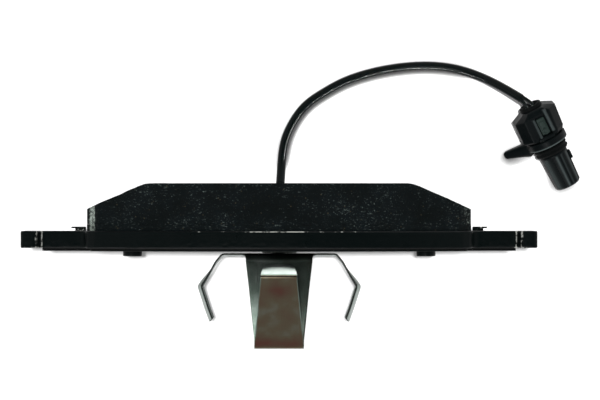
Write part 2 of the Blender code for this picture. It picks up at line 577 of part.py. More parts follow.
def plug(nylon, ring_nylon, rubber, brass, insert_nylon):
    frame = bpy.data.objects.new("plug_frame", None)
    bpy.context.scene.collection.objects.link(frame)
    frame.matrix_world = plug_matrix()
    axis, zero = (1, 0, 0), (0, 0, 0)

    body = turned("connector_body",
                  [(2.2, 0), (2.2, 4.4), (HEAD_END, NECK_RADIUS), (SEAL_FROM - 0.25, NECK_RADIUS),
                   (SEAL_FROM - 0.25, SEAL_SEAT), (SEAL_TO + 0.25, SEAL_SEAT),
                   (SEAL_TO + 0.25, BARREL_RADIUS),
                   (PLUG_LENGTH - 0.5, BARREL_TIP_RADIUS), (PLUG_LENGTH, BARREL_TIP_RADIUS - 0.45),
                   (PLUG_LENGTH, 0)], zero, axis, nylon, frame)
    wings = [(0.4, -3.8), (1.9, -7.0), (HEAD_END - 1.0, -7.2), (HEAD_END, -6.2), (HEAD_END, 5.6),
             (HEAD_END - 1.4, 6.5), (1.5, 7.05), (-0.2, 3.6)]
    count = len(wings)
    levels = ((-6.6, 0.72), (-4.0, 1.0), (2.6, 1.0), (5.6, 0.62))
    points = [(a, b * share, n) for n, share in levels for a, b in wings]
    faces = [tuple(range(count - 1, -1, -1)), tuple(range(3 * count, 4 * count))]
    faces += [(k + i, k + (i + 1) % count, k + count + (i + 1) % count, k + count + i)
              for k in range(0, 3 * count, count) for i in range(count)]
    head = solid("add_head", points, faces, None, frame)
    boolean(body, "UNION", head,
            block("add_nub", (17.0, 3.4, -1.0), (19.6, 5.0, 1.0), None, frame))
    cup = turned("cut_grommet_seat", [(-3, 0), (-3, 3.8), (1.8, 3.8), (1.8, 0)], zero, axis, None, frame,
                 sides=24)
    recess = block("cut_recess", (2.6, -2.3, 3.6), (8.9, 2.3, 9.0), None, frame)
    bore_from = TERMINAL_FROM - 1
    bore = [(bore_from, 0), (bore_from, BORE_HALF), (30, BORE_HALF), (30, 0)]
    bores = [turned(f"cut_bore_{side}", bore, (0, sign * TERMINAL_B, 0), axis, None, frame, sides=16)
             for side, sign in (("left", -1), ("right", 1))]
    boolean(body, "DIFFERENCE", cup, recess, *bores)
    smooth(body)

    block("connector_lock_insert", (3.0, -1.9, 3.9), (8.5, 1.9, 5.0), insert_nylon, frame)
    rim = 3.5
    dish = [(0.2, 0), (0.2, 1.9), (-1.2, 2.6), (-1.4, 3.0), (-1.2, rim), (1.5, rim), (1.5, 0)]
    smooth(turned("connector_grommet", dish, zero, axis, rubber, frame, sides=24))
    inner = SEAL_SEAT + FIT_GAP / 2
    middle = (SEAL_FROM + SEAL_TO) / 2
    ridge = (SEAL_TO - SEAL_FROM) / 4
    seal = [(SEAL_FROM, inner), (SEAL_FROM, SEAL_RADIUS - 0.5), (middle - ridge, SEAL_RADIUS),
            (middle, SEAL_RADIUS - 0.4), (middle + ridge, SEAL_RADIUS), (SEAL_TO, SEAL_RADIUS - 0.5),
            (SEAL_TO, inner)]
    smooth(turned("connector_seal", seal, zero, axis, rubber, frame))

    hub = (RING_FROM, 0, 0)
    ring = turned("locking_ring", [(RING_FROM, NECK_RADIUS + FIT_GAP), (RING_FROM, RING_RADIUS - 0.3),
                                   (RING_FROM + 0.3, RING_RADIUS), (RING_TO - 0.3, RING_RADIUS),
                                   (RING_TO, RING_RADIUS - 0.3), (RING_TO, NECK_RADIUS + FIT_GAP)],
                  zero, axis, ring_nylon, frame, hub)
    out = Vector((0, -math.cos(LEVER_DROP), -math.sin(LEVER_DROP)))
    across = Vector((0, out.z, -out.y))
    stations = [(5.7, 1.9), (7.2, 1.75), (LEVER_REACH - 1.0, 0.95), (LEVER_REACH, 0.35)]
    ring_middle = (RING_FROM + RING_TO) / 2
    points, faces = [], []
    for reach, half in stations:
        for da, dn in ((-1, -1), (1, -1), (1, 1), (-1, 1)):
            points.append(Vector((ring_middle + da * 1.05, 0, 0)) + out * reach + across * dn * half)
    last = 4 * (len(stations) - 1)
    faces += [(3, 2, 1, 0), (last, last + 1, last + 2, last + 3)]
    faces += [(4 * k + i, 4 * k + (i + 1) % 4, 4 * k + 4 + (i + 1) % 4, 4 * k + 4 + i)
              for k in range(len(stations) - 1) for i in range(4)]
    boolean(ring, "UNION", solid("add_lever", points, faces, None, frame, hub))
    smooth(ring)

    for side, sign in (("left", -1), ("right", 1)):
        pin = [(TERMINAL_FROM, 0), (TERMINAL_FROM, TERMINAL_RADIUS), (26.2, TERMINAL_RADIUS), (26.4, 0.4),
               (26.4, 0)]
        smooth(turned(f"terminal_{side}", pin, (0, sign * TERMINAL_B, 0), axis, brass, frame, sides=12))


def main():
    clear_scene()
    paint = look("black_paint", (0.012, 0.013, 0.013), 0.35)
    friction = look("friction_compound", (0.022, 0.025, 0.024), 0.9)
    underlayer = look("underlayer_compound", (0.03, 0.03, 0.028), 0.9)
    damping = look("damping_rubber", (0.015, 0.015, 0.015), 0.7)
    shim_paint = look("shim_paint", (0.014, 0.015, 0.015), 0.45)
    spring = look("spring_steel", (0.42, 0.45, 0.42), 0.3, 1.0)
    zinc = look("zinc_plated_steel", (0.5, 0.5, 0.48), 0.4, 1.0)
    nylon = look("black_nylon", (0.018, 0.021, 0.021), 0.45)
    insert_nylon = look("dark_green_nylon", (0.05, 0.065, 0.06), 0.45)
    rubber = look("seal_rubber", (0.01, 0.01, 0.01), 0.7)
    pvc = look("cable_sheath", (0.012, 0.014, 0.014), 0.35)
    core_skin = look("core_insulation", (0.012, 0.014, 0.014), 0.35)
    copper = look("copper_wire", (0.55, 0.25, 0.12), 0.35, 1.0)
    brass = look("tinned_contact", (0.6, 0.58, 0.5), 0.3, 1.0)

    backing_plate(paint)
    friction_parts(friction, underlayer, sensor_pocket())
    shim_parts(damping, shim_paint)
    clip_base(spring)
    clip_tongue(spring)
    clip_finger("clip_finger_left", -1, spring)
    clip_finger("clip_finger_right", 1, spring)
    clip_fasteners(spring, zinc)
    wear_sensor(nylon, copper, rubber)
    lead(pvc, core_skin)
    plug(nylon, nylon, rubber, brass, insert_nylon)


main()
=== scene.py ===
# %% [markdown]
# # A disc brake pad with its wear-sensor lead
# The solid model already exists: a pad that stands on its inner edge, a spring clip on its back, and a thin
# lead that runs to a plug. This lesson gives it its looks. Each piece is a surface worked out with numpy and
# each finish is a procedural material, so everything can be read, changed and run again.
#
# Lengths are in millimetres until the last step, because those are the numbers a caliper gives. A place in
# the pad is written x, t, z: x along the pad, t the depth counted from the front face of the backing plate
# (+ towards the brake disc), and z up from the surface it stands on.

# %% Load the frame
import json
import math

import bmesh
import bpy
import numpy as np
from mathutils import Matrix, Vector

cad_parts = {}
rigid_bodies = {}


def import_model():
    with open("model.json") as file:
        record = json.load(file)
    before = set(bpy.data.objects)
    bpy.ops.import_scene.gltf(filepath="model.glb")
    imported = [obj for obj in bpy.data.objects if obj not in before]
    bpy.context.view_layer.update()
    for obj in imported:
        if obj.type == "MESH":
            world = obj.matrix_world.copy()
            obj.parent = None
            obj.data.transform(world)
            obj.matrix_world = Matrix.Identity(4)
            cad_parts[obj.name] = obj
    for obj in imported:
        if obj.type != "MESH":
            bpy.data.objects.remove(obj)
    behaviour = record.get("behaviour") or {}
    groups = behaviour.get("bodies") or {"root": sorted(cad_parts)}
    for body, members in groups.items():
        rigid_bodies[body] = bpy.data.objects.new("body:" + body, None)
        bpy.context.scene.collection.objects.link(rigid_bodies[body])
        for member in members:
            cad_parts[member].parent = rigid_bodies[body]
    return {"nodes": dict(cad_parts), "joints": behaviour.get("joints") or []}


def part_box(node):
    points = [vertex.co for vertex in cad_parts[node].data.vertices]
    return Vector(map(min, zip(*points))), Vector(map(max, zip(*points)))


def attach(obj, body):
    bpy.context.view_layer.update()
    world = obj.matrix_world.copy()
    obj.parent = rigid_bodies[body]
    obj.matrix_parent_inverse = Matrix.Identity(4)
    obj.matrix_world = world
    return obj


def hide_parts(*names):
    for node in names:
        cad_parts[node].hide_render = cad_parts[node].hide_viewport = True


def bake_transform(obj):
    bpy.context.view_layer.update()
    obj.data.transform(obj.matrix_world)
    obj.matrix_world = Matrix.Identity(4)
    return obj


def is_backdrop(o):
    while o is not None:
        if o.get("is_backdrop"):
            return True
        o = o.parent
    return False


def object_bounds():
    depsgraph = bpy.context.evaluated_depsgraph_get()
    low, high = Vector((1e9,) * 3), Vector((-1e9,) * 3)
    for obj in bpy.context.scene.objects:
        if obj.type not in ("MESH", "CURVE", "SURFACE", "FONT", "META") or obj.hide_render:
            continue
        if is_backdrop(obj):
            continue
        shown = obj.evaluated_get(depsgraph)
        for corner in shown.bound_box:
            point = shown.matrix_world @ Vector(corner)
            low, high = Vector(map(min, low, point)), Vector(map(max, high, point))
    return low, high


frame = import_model()
CAD_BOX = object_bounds()
MM = 0.001


def box_mm(node):
    """Lowest and highest corner of a solid, in millimetres."""
    low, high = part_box(node)
    return np.array(low) / MM, np.array(high) / MM


joints = {joint["name"]: joint for joint in frame["joints"]}
plate_high = box_mm("backing_plate")[1]
FRONT = plate_high[1]
print("pieces in the frame:", len(frame["nodes"]), "front face at y =", round(FRONT, 2), "mm")

# %% [markdown]
# ## The camera
# The pad is seen from straight above with a long lens, so nearly all that shows of it is its outer edge. A
# distance of 1.2 m keeps just enough perspective to show a little of the faces on either side.

# %% Make the camera
CAMERA_HEIGHT = 1200.0
VIEW_WIDTH = 187.6  # of the surface that the pad stands on
SENSOR = 36.0

camera_data = bpy.data.cameras.new("camera")
camera_data.sensor_width = SENSOR
camera_data.lens = SENSOR * CAMERA_HEIGHT / VIEW_WIDTH
camera = bpy.data.objects.new("camera", camera_data)
camera.location = Vector((6.3, FRONT + 9.3, CAMERA_HEIGHT)) * MM
bpy.context.scene.collection.objects.link(camera)
bpy.context.scene.camera = camera
print("lens:", round(camera_data.lens), "mm")

# %% [markdown]
# ## The lead
# A sensor lead is a small stiff cable: two insulated cores in a smooth black sheath, 2.7 mm across. It comes
# out of a rubber sleeve under the pad's arch, drops to the table, lies there in one open bend and climbs into
# a plug that is propped up by its own lever. The points below are given, and a natural cubic spline,
# the curve that a thin springy strip takes when it is pinned at those points, joins them.

# %% The route, and a spline through it
ROUTE = np.array([
    (0.15, 14.4, 5.0), (0.35, 17.6, 3.4), (0.65, 22.0, 1.9), (1.85, 28.7, 1.4), (2.95, 31.4, 1.4),
    (4.3, 33.9, 1.4), (8.2, 38.9, 1.4), (13.5, 42.7, 1.4), (19.1, 45.8, 1.4), (27.0, 48.65, 1.4),
    (37.5, 50.7, 1.4), (45.5, 51.2, 1.4), (53.5, 50.5, 1.6), (61.4, 48.2, 3.0), (69.2, 44.3, 7.0),
    (73.6, 41.6, 9.6), (76.6, 39.35, 10.75), (78.0, 37.67, 10.45),
]) + (0, FRONT, 0)
LEAD_WIDTH = 2.7
CORE_WIDTH = 1.24
CORE_STRETCH = 4.6  # where the sheath has been stripped and the two cores run apart


def distance_along(points):
    """How far along the chain each of its points lies."""
    return np.r_[0, np.cumsum(np.linalg.norm(np.diff(points, axis=0), axis=1))]


def resampled(points, run, at):
    """The chain's places at the distances `at`, where its own points lie at the distances `run`."""
    return np.stack([np.interp(at, run, column) for column in points.T], axis=1)


def spline(points, count):
    """Evenly spaced points on the natural cubic spline through the given points, and its length.

    The spline is a cubic between each two points. Its second derivative is continuous, is zero at both ends,
    and comes from one linear equation for each inner point.
    """
    chord = distance_along(points)
    step = np.diff(chord)
    inner = np.arange(1, len(points) - 1)
    system, right = np.eye(len(points)), np.zeros_like(points)
    system[inner, inner - 1] = step[:-1]
    system[inner, inner] = 2 * (step[:-1] + step[1:])
    system[inner, inner + 1] = step[1:]
    slope = np.diff(points, axis=0) / step[:, None]
    right[1:-1] = 6 * np.diff(slope, axis=0)
    bend = np.linalg.solve(system, right)
    fine = np.linspace(0, chord[-1], 3000)
    k = np.clip(np.searchsorted(chord, fine) - 1, 0, len(points) - 2)
    h, u, v = step[k][:, None], (chord[k + 1] - fine)[:, None], (fine - chord[k])[:, None]
    line = (bend[k] * u**3 + bend[k + 1] * v**3) / (6 * h)
    line += (points[k] / h - bend[k] * h / 6) * u + (points[k + 1] / h - bend[k + 1] * h / 6) * v
    run = distance_along(line)
    return resampled(line, run, np.linspace(0, run[-1], count)), run[-1]


route, route_length = spline(ROUTE, 400)
print("sleeve to plug:", round(route_length, 1), "mm")

# %% Draw the lead as a curve
def stretch(start, end, count):
    """Points of the route between two distances from the sleeve."""
    return resampled(route, np.linspace(0, route_length, len(route)), np.linspace(start, end, count))


def cord_curve(name, points, width, detail=8):
    """A round cord: a curve through the points, with a circle of that width carried along it."""
    curve = bpy.data.curves.new(name, "CURVE")
    curve.dimensions = "3D"
    curve.bevel_depth = width / 2 * MM
    curve.bevel_resolution = detail
    curve.use_fill_caps = True
    line = curve.splines.new("POLY")
    line.points.add(len(points) - 1)
    line.points.foreach_set("co", np.c_[points * MM, np.ones(len(points))].ravel())
    cord = bpy.data.objects.new(name, curve)
    bpy.context.scene.collection.objects.link(cord)
    return cord


sheath_length = route_length - CORE_STRETCH
sheath = cord_curve("lead_sheath", stretch(0, sheath_length, 220), LEAD_WIDTH)
print("sheath:", round(sheath_length, 1), "mm long")

# %% [markdown]
# ## Tools for surfaces
# Every other piece is a grid of points, `grid[row, column]`, worked out as whole arrays. Two things turn it
# into a closed shell: its columns may wrap round, and its first and last row may be closed with a face.

# %% Grid to shell, shells to piece
def shell(grid, wrap=True, caps=True):
    """A grid of points as a shell: its points, its quads and the closing faces of its first and last row."""
    rows, columns = grid.shape[:2]
    index = np.arange(rows * columns).reshape(rows, columns)
    if wrap:
        index = np.concatenate([index, index[:, :1]], axis=1)
    quads = np.stack([index[:-1, :-1], index[:-1, 1:], index[1:, 1:], index[1:, :-1]], axis=-1).reshape(-1, 4)
    ends = [np.arange(columns)[::-1], np.arange(columns) + (rows - 1) * columns] if wrap and caps else []
    return grid.reshape(-1, 3), quads, ends


def make(name, shells, material, body="pad", slot=None, stands_for=(), sharp=32, uv=None, **attributes):
    """One piece from one or more shells in millimetres. It rides on a body of the frame.

    Attributes are arrays with one number for each point, which the piece's material can read.
    """
    points, faces, start = [], [], 0
    for spots, quads, ends in shells:
        points.append(spots)
        faces += (quads + start).tolist() + [(end + start).tolist() for end in ends]
        start += len(spots)
    mesh = bpy.data.meshes.new(name)
    mesh.from_pydata(np.concatenate(points) * MM, [], faces)
    if uv is not None:
        corner = np.empty(len(mesh.loops), np.int32)
        mesh.loops.foreach_get("vertex_index", corner)
        mesh.uv_layers.new(name="strip").data.foreach_set("uv", (uv[corner] * MM).ravel())
    for key, values in attributes.items():
        layer = mesh.attributes.new(key, "FLOAT", "POINT")
        layer.data.foreach_set("value", values.astype(np.float32).ravel())
    shape = bmesh.new()
    shape.from_mesh(mesh)
    bmesh.ops.remove_doubles(shape, verts=shape.verts, dist=1e-6)
    bmesh.ops.dissolve_degenerate(shape, edges=shape.edges, dist=1e-7)
    bmesh.ops.recalc_face_normals(shape, faces=shape.faces)
    shape.to_mesh(mesh)
    shape.free()
    mesh.shade_smooth()
    mesh.set_sharp_from_angle(angle=math.radians(sharp))
    piece = bpy.data.objects.new(name, mesh)
    bpy.context.scene.collection.objects.link(piece)
    finish_piece(piece, material, body, stands_for)
    print(f"{name}: {len(mesh.polygons)} faces")
    return piece


def finish_piece(piece, material, body, stands_for):
    """Gives a piece its material and its body, and hides the solids it stands for."""
    piece.data.materials.append(material)
    if body:
        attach(piece, body)
    if stands_for:
        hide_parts(*stands_for)


# %% Shapes that several pieces use
def smoothstep(value, low, high):
    """0 below low, 1 above high, and 3s^2 - 2s^3 of the share s in between."""
    share = np.clip((value - low) / (high - low), 0, 1)
    return share * share * (3 - 2 * share)


def inside(value, low, high, wall):
    """1 between low and high and 0 outside, with walls of that width."""
    up = smoothstep(value, low - wall / 2, low + wall / 2)
    return up * (1 - smoothstep(value, high - wall / 2, high + wall / 2))


def noise(points, size, seed):
    """Smooth noise from -1 to 1 whose lumps measure about size: random values on a cubic lattice, blended."""
    lattice = np.random.default_rng(seed).uniform(-1, 1, (32, 32, 32))
    spot = points / size + 500.0
    cell = np.floor(spot).astype(int)
    share = spot - cell
    share = share * share * (3 - 2 * share)
    total = 0.0
    for corner in np.ndindex(2, 2, 2):
        weight = np.prod(np.where(corner, share, 1 - share), axis=-1)
        total = total + weight * lattice[tuple(((cell + corner) % 32)[..., axis] for axis in range(3))]
    return total


def arc(centre, radius, start, end, steps):
    """Points on a circle between two angles, in radians from the first axis."""
    angles = np.linspace(start, end, steps + 1)
    return np.stack([centre[0] + radius * np.cos(angles), centre[1] + radius * np.sin(angles)], axis=1)


def rounded(corners, steps=6):
    """A chain of corners (u, v, radius), each with a tangent arc of that radius in its place."""
    chain = [np.array([corners[0][:2]])]
    for before, corner, after in zip(corners, corners[1:], corners[2:]):
        here, back, on = (Vector(spot[:2]) for spot in (corner, before, after))
        back, on = (back - here).normalized(), (on - here).normalized()
        half = back.angle(on) / 2
        if not corner[2] or abs(half - math.pi / 2) < 1e-4:
            chain.append(np.array([here]))
            continue
        centre = here + (back + on).normalized() * corner[2] / math.sin(half)
        first = here + back * corner[2] / math.tan(half) - centre
        last = here + on * corner[2] / math.tan(half) - centre
        turns = np.linspace(0, -first.angle_signed(last), steps + 1)
        chain.append(np.array([centre + Matrix.Rotation(turn, 2) @ first for turn in turns]))
    return np.concatenate([*chain, np.array([corners[-1][:2]])])


def mirrored(half):
    """Closes a chain that runs from the top's middle, down the right side, to the bottom's middle."""
    left = half[half[:, 0] > 1e-6][::-1] * (-1, 1)
    return np.concatenate([half, left])


def evened(outline, step):
    """The closed outline with points about one step apart, evenly spaced along it."""
    closed = np.concatenate([outline, outline[:1]])
    run = distance_along(closed)
    return resampled(closed, run, np.linspace(0, run[-1], int(run[-1] / step), endpoint=False))


def inset(outline, distance):
    """The closed outline moved inwards: each point goes against the mean normal of its two sides."""
    along = np.roll(outline, -1, axis=0) - outline
    along /= np.linalg.norm(along, axis=1)[:, None]
    inward = np.stack([along[:, 1], -along[:, 0]], axis=1)
    total = inward + np.roll(inward, 1, axis=0)
    return outline + distance * 2 * total / (total * total).sum(1)[:, None]


def slab(outline, back, front, edge, steps=4, middle=0):
    """Rings of an outline through a depth, with a quarter circle of the given radius at both edges."""
    turn = np.linspace(0, math.pi / 2, steps + 1)
    drop = edge * (1 - np.sin(turn))
    depth = edge * (1 - np.cos(turn))
    insets = np.r_[drop, np.zeros(middle), drop[::-1]]
    between = np.linspace(back + edge, front - edge, middle + 2)[1:-1]
    depths = np.r_[back + depth, between, front - depth[::-1]]
    rings = np.stack([inset(outline, distance) for distance in insets])
    t = np.broadcast_to(depths[:, None], rings.shape[:2])
    return np.stack([rings[..., 0], t + FRONT, rings[..., 1]], axis=-1)


def lathe(profile, start, along, sides=64):
    """A profile of (distance along, radius) turned about an axis through a point."""
    along = np.array(along, float) / np.linalg.norm(along)
    side = np.cross(along, (0.0, 0.0, 1.0) if abs(along[2]) < 0.9 else (1.0, 0.0, 0.0))
    side /= np.linalg.norm(side)
    up = np.cross(along, side)
    angle = np.linspace(0, 2 * math.pi, sides, endpoint=False)
    ring = np.cos(angle)[:, None] * side + np.sin(angle)[:, None] * up
    profile = np.array(profile)
    return np.array(start) + profile[:, :1, None] * along + profile[:, 1, None, None] * ring


def softened(profile, radius, steps=3):
    """A profile of (distance, radius) with its inner corners rounded."""
    return rounded([(a, r, radius) for a, r in profile], steps)


def rounded_box(low, high, radius, steps=4):
    """A box with round edges: a small sphere whose eight parts are moved out to the box's corners."""
    low, high = np.array(low, float), np.array(high, float)
    centre, reach = (low + high) / 2, (high - low) / 2 - radius
    quarter = np.linspace(0, math.pi / 2, steps + 1)
    turn = np.concatenate([quarter + k * math.pi / 2 for k in range(4)])
    tilt = np.concatenate([quarter - math.pi / 2, quarter])
    sign_x = np.repeat((1, -1, -1, 1), steps + 1)
    sign_y = np.repeat((1, 1, -1, -1), steps + 1)
    sign_z = np.repeat((-1, 1), steps + 1)
    x = radius * np.outer(np.cos(tilt), np.cos(turn)) + sign_x * reach[0]
    y = radius * np.outer(np.cos(tilt), np.sin(turn)) + sign_y * reach[1]
    z = np.repeat((radius * np.sin(tilt) + sign_z * reach[2])[:, None], len(turn), axis=1)
    return np.stack([x, y, z], axis=-1) + centre


# %% [markdown]
# ## Tools for materials
# A colour is written as the hex code that a screen shows, and one function turns it into the linear numbers
# that light is counted in. Another adds a node, sets it up and links it, and short ones name what the
# materials below use it for most. A pattern's scale is always worked out from a real size: a noise whose
# lumps measure s mm has a scale of 1000/s.

# %% Colours and nodes
def colour(code):
    """Linear colour of a hex code: c/12.92 for dark values, else ((c + 0.055)/1.055)^2.4."""
    value = np.array([int(code[i : i + 2], 16) for i in (1, 3, 5)]) / 255
    linear = np.where(value <= 0.04045, value / 12.92, ((value + 0.055) / 1.055) ** 2.4)
    return (*linear.tolist(), 1.0)


def add(tree, kind, inputs=None, stops=None, **settings):
    """Adds a node. Inputs are numbers or the sockets to link from, and stops are a ramp's (place, colour)."""
    node = tree.nodes.new("ShaderNode" + kind)
    for key, value in settings.items():
        setattr(node, key, value)
    for key, value in (inputs or {}).items():
        if isinstance(value, bpy.types.NodeSocket):
            tree.links.new(value, node.inputs[key])
        else:
            node.inputs[key].default_value = value
    if stops:
        elements = node.color_ramp.elements
        while len(elements) < len(stops):
            elements.new(0.5)
        for element, (place, shade) in zip(elements, stops):
            element.position = place
            element.color = colour(shade) if isinstance(shade, str) else (shade, shade, shade, 1.0)
    return node


def lumpy(tree, where, size, detail, roughness=0.5):
    """Noise, mostly between 0.3 and 0.7, whose lumps measure that many millimetres."""
    return add(tree, "TexNoise", {"Vector": where, "Scale": 1000.0 / size, "Detail": detail,
                                  "Roughness": roughness}).outputs[0]


def remap(tree, value, low, high, to_low=0.0, to_high=1.0, **settings):
    """Carries low..high over to to_low..to_high in a straight line, and stops at both ends."""
    return add(tree, "MapRange", {"Value": value, "From Min": low, "From Max": high, "To Min": to_low,
                                  "To Max": to_high}, **settings).outputs[0]


def blended(tree, share, first, second, **settings):
    """The first colour where share is 0 and the second where it is 1. Colours are hex codes or sockets."""
    first, second = (colour(shade) if isinstance(shade, str) else shade for shade in (first, second))
    return add(tree, "Mix", {"Factor": share, 6: first, 7: second}, data_type="RGBA", **settings).outputs[2]


def worked(tree, operation, first, second):
    """A sum, product or greater of two numbers."""
    return add(tree, "Math", {0: first, 1: second}, operation=operation).outputs[0]


def ramp(tree, value, stops):
    """A number turned into a colour, from a row of (place, colour)."""
    return add(tree, "ValToRGB", {"Fac": value}, stops=stops).outputs[0]


# The wear attribute also carries painted highlights: on the plate's front edge, in stripes along the plug's
# barrel and round the lock ring's rim.
def attribute_here(tree, attribute="wear"):
    """The number that the mesh carries under that name at each point."""
    return add(tree, "Attribute", attribute_name=attribute).outputs["Fac"]


def material(name, base, roughness, metallic=0.0, ior=1.5, shine=0.5):
    """A new material with its shader's own sockets set. Returns it, its tree, its shader and its place."""
    made = bpy.data.materials.new(name)
    made.use_nodes = True
    tree = made.node_tree
    shader = tree.nodes["Principled BSDF"]
    shader.inputs["Base Color"].default_value = colour(base)
    shader.inputs["Roughness"].default_value = roughness
    shader.inputs["Metallic"].default_value = metallic
    shader.inputs["IOR"].default_value = ior
    shader.inputs["Specular IOR Level"].default_value = shine
    return made, tree, shader, add(tree, "TexCoord").outputs["Object"]


def wire_up(tree, shader, height, distance, **sockets):
    """Links sockets to the shader, and a height from 0 to 1 as bumps of that many millimetres."""
    sockets["Normal"] = add(tree, "Bump", {"Height": height, "Distance": distance * MM}).outputs[0]
    for key, socket in sockets.items():
        tree.links.new(socket, shader.inputs[key.replace("_", " ")])


# %% [markdown]
# ## Painted steel
# The plate is fine-blanked steel with stoved black paint. Paint on a blanked edge pulls back from the sharp
# corners, where grey steel shows through in short worn lines, and its skin has a faint orange peel. Dust and
# fine handling marks make the gloss uneven. Each mesh carries an attribute for wear and painted highlight
# that is about 1 on its edges. On the plate's front edge it is higher, so the grey steel there is a painted
# highlight line.

# %% Paint over steel
def painted_steel(name, base, gloss, pale_from, peel_size=0.55):
    """Paint with a gloss between two values. Grey steel shows where noise times the attribute passes a
    threshold: chips in the paint, and on the plate's front edge a painted highlight.
    """
    paint, tree, shader, where = material(name, base, gloss[0], ior=1.48, shine=0.15)
    peel = lumpy(tree, where, peel_size, 3.0)
    patches = lumpy(tree, where, 7.0, 6.0, 0.65)
    dust = ramp(tree, lumpy(tree, where, 0.9, 4.0, 0.7), [(0.72, 0.0), (0.84, 1.0)])
    chips_and_highlight = worked(tree, "MULTIPLY", lumpy(tree, where, 1.6, 5.0, 0.7), attribute_here(tree))
    bare_and_highlight = remap(tree, chips_and_highlight, pale_from, pale_from + 0.06)
    wire_up(tree, shader, peel, 0.05,
            Base_Color=blended(tree, bare_and_highlight, blended(tree, dust, base, "#1c2120"), "#a8aaa4"),
            Metallic=worked(tree, "MULTIPLY", bare_and_highlight, 0.35),
            Roughness=remap(tree, patches, 0.3, 0.7, *gloss))
    return paint


plate_paint = painted_steel("stoved_paint_on_blanked_steel", "#040808", (0.26, 0.4), 0.56)
shim_paint = painted_steel("matt_coating_on_shim_steel", "#080c0c", (0.34, 0.46), 0.6, 0.4)
print("painted steel:", plate_paint.name, shim_paint.name)

# %% [markdown]
# ## Friction compound
# The block is hot-pressed from resin, fibres, graphite and metal powder. It is nearly black and rough to the
# touch, with lumps of about half a millimetre. Some grains catch the light: grey ones of graphite and iron,
# and a few of brass. The rims, where the mould was tight, are scraped and lighter. The grains are drawn a
# little coarser than real ones, so that they show.

# %% Pressed compound
def pressed_compound(name, base, scraped):
    """Noise gives the lumps, a threshold on fine noise the grey grains, and rare cells the brass ones."""
    compound, tree, shader, where = material(name, base, 0.8, ior=1.45, shine=0.12)
    grain = lumpy(tree, where, 0.8, 8.0, 0.75)
    cloud = lumpy(tree, where, 11.0, 5.0, 0.6)
    drawn_out = add(tree, "Mapping", {"Vector": where, "Scale": (0.55, 1.0, 1.0)}).outputs[0]
    crowd = remap(tree, cloud, 0.3, 0.7, -0.05, 0.05)
    grey = remap(tree, worked(tree, "ADD", lumpy(tree, drawn_out, 0.45, 5.0, 0.8), crowd), 0.6, 0.74)
    cells = add(tree, "TexVoronoi", {"Vector": where, "Scale": 1000.0 / 0.5})
    picked = add(tree, "SeparateColor", {"Color": cells.outputs["Color"]}).outputs[1]
    brass = worked(tree, "MULTIPLY", remap(tree, picked, 0.97, 1.02),
                   remap(tree, cells.outputs["Distance"], 0.5, 0.15))
    ground = blended(tree, ramp(tree, grain, [(0.4, 0.25), (0.75, 1.0)]), "#060808",
                     ramp(tree, cloud, [(0.35, base), (0.72, "#10171a")]))
    grains = blended(tree, brass, blended(tree, grey, ground, "#6a7571"), "#4a4434")
    paler_here = remap(tree, worked(tree, "MULTIPLY", grain, attribute_here(tree)), 0.4, 0.6, 0.0, 0.9)
    wire_up(tree, shader, grain, 0.2, Base_Color=blended(tree, paler_here, grains, scraped),
            Roughness=remap(tree, grain, 0.3, 0.7, 0.62, 0.95))
    return compound


compound = pressed_compound("pressed_friction_compound", "#080d0d", "#a3aea6")
bonding = pressed_compound("pressed_underlayer", "#080d0d", "#8d978f")
print("compound:", compound.name)

# %% [markdown]
# ## Spring steel
# The clip is cut from hardened and tempered strip. Rolling leaves fine lines along it, and the tempering
# oven leaves a thin oxide that tints it: silver and slightly green where it is thin, straw and brown where it
# is thicker, and reddish at the hottest places. Each sheet has a UV map in metres, for the rolling lines, and
# an attribute, tint, that goes from 0, clean steel, to 1, the reddest oxide. On the tongue the tint also
# paints light: the lip is kept pale as a painted highlight, and the crease gets painted shade. The cut edge
# is sheared, dark.

# %% Tempered strip and its cut edge
def tempered_strip(name, roughness):
    """The tint attribute, shifted a little by noise, picks a colour from the row of tempering colours. On the
    tongue it also carries painted light and shade.
    """
    strip, tree, shader, where = material(name, "#8fa399", roughness, metallic=1.0)
    sheet = add(tree, "UVMap", uv_map="strip").outputs[0]
    along_sheet = add(tree, "Mapping", {"Vector": sheet, "Scale": (1000 / 9.0, 1000 / 0.12, 1.0)}).outputs[0]
    rolled = lumpy(tree, along_sheet, 1000.0, 3.0)
    drift = remap(tree, lumpy(tree, where, 5.0, 3.0, 0.55), 0.3, 0.7, -0.12, 0.12)
    shade = ramp(tree, worked(tree, "ADD", attribute_here(tree, "tint"), drift), [
        (0.0, "#cdd8d2"), (0.25, "#93a69a"), (0.45, "#84867a"), (0.62, "#776e5b"), (0.82, "#735d4f"),
        (1.0, "#754f46")])
    lined = blended(tree, 1.0, shade, remap(tree, rolled, 0.35, 0.65, 0.985, 1.0), blend_type="MULTIPLY")
    speck = ramp(tree, lumpy(tree, where, 0.7, 4.0, 0.7), [(0.68, 0.0), (0.76, 1.0)])
    wire_up(tree, shader, rolled, 0.001, Base_Color=blended(tree, speck, lined, "#4d4a40"),
            Roughness=remap(tree, rolled, 0.3, 0.7, roughness - 0.02, roughness + 0.05))
    return strip


def sheared_edge(name, base):
    """The torn grey face that shears leave along a strip."""
    edge, tree, shader, where = material(name, base, 0.5, metallic=0.7)
    torn = lumpy(tree, where, 0.35, 4.0)
    wire_up(tree, shader, torn, 0.03, Base_Color=ramp(tree, torn, [(0.35, base), (0.75, "#4a4f4c")]))
    return edge


strip_steel = tempered_strip("tempered_spring_strip", 0.22)
cut_edge = sheared_edge("sheared_strip_edge", "#1a1d1c")
print("spring steel:", strip_steel.name)
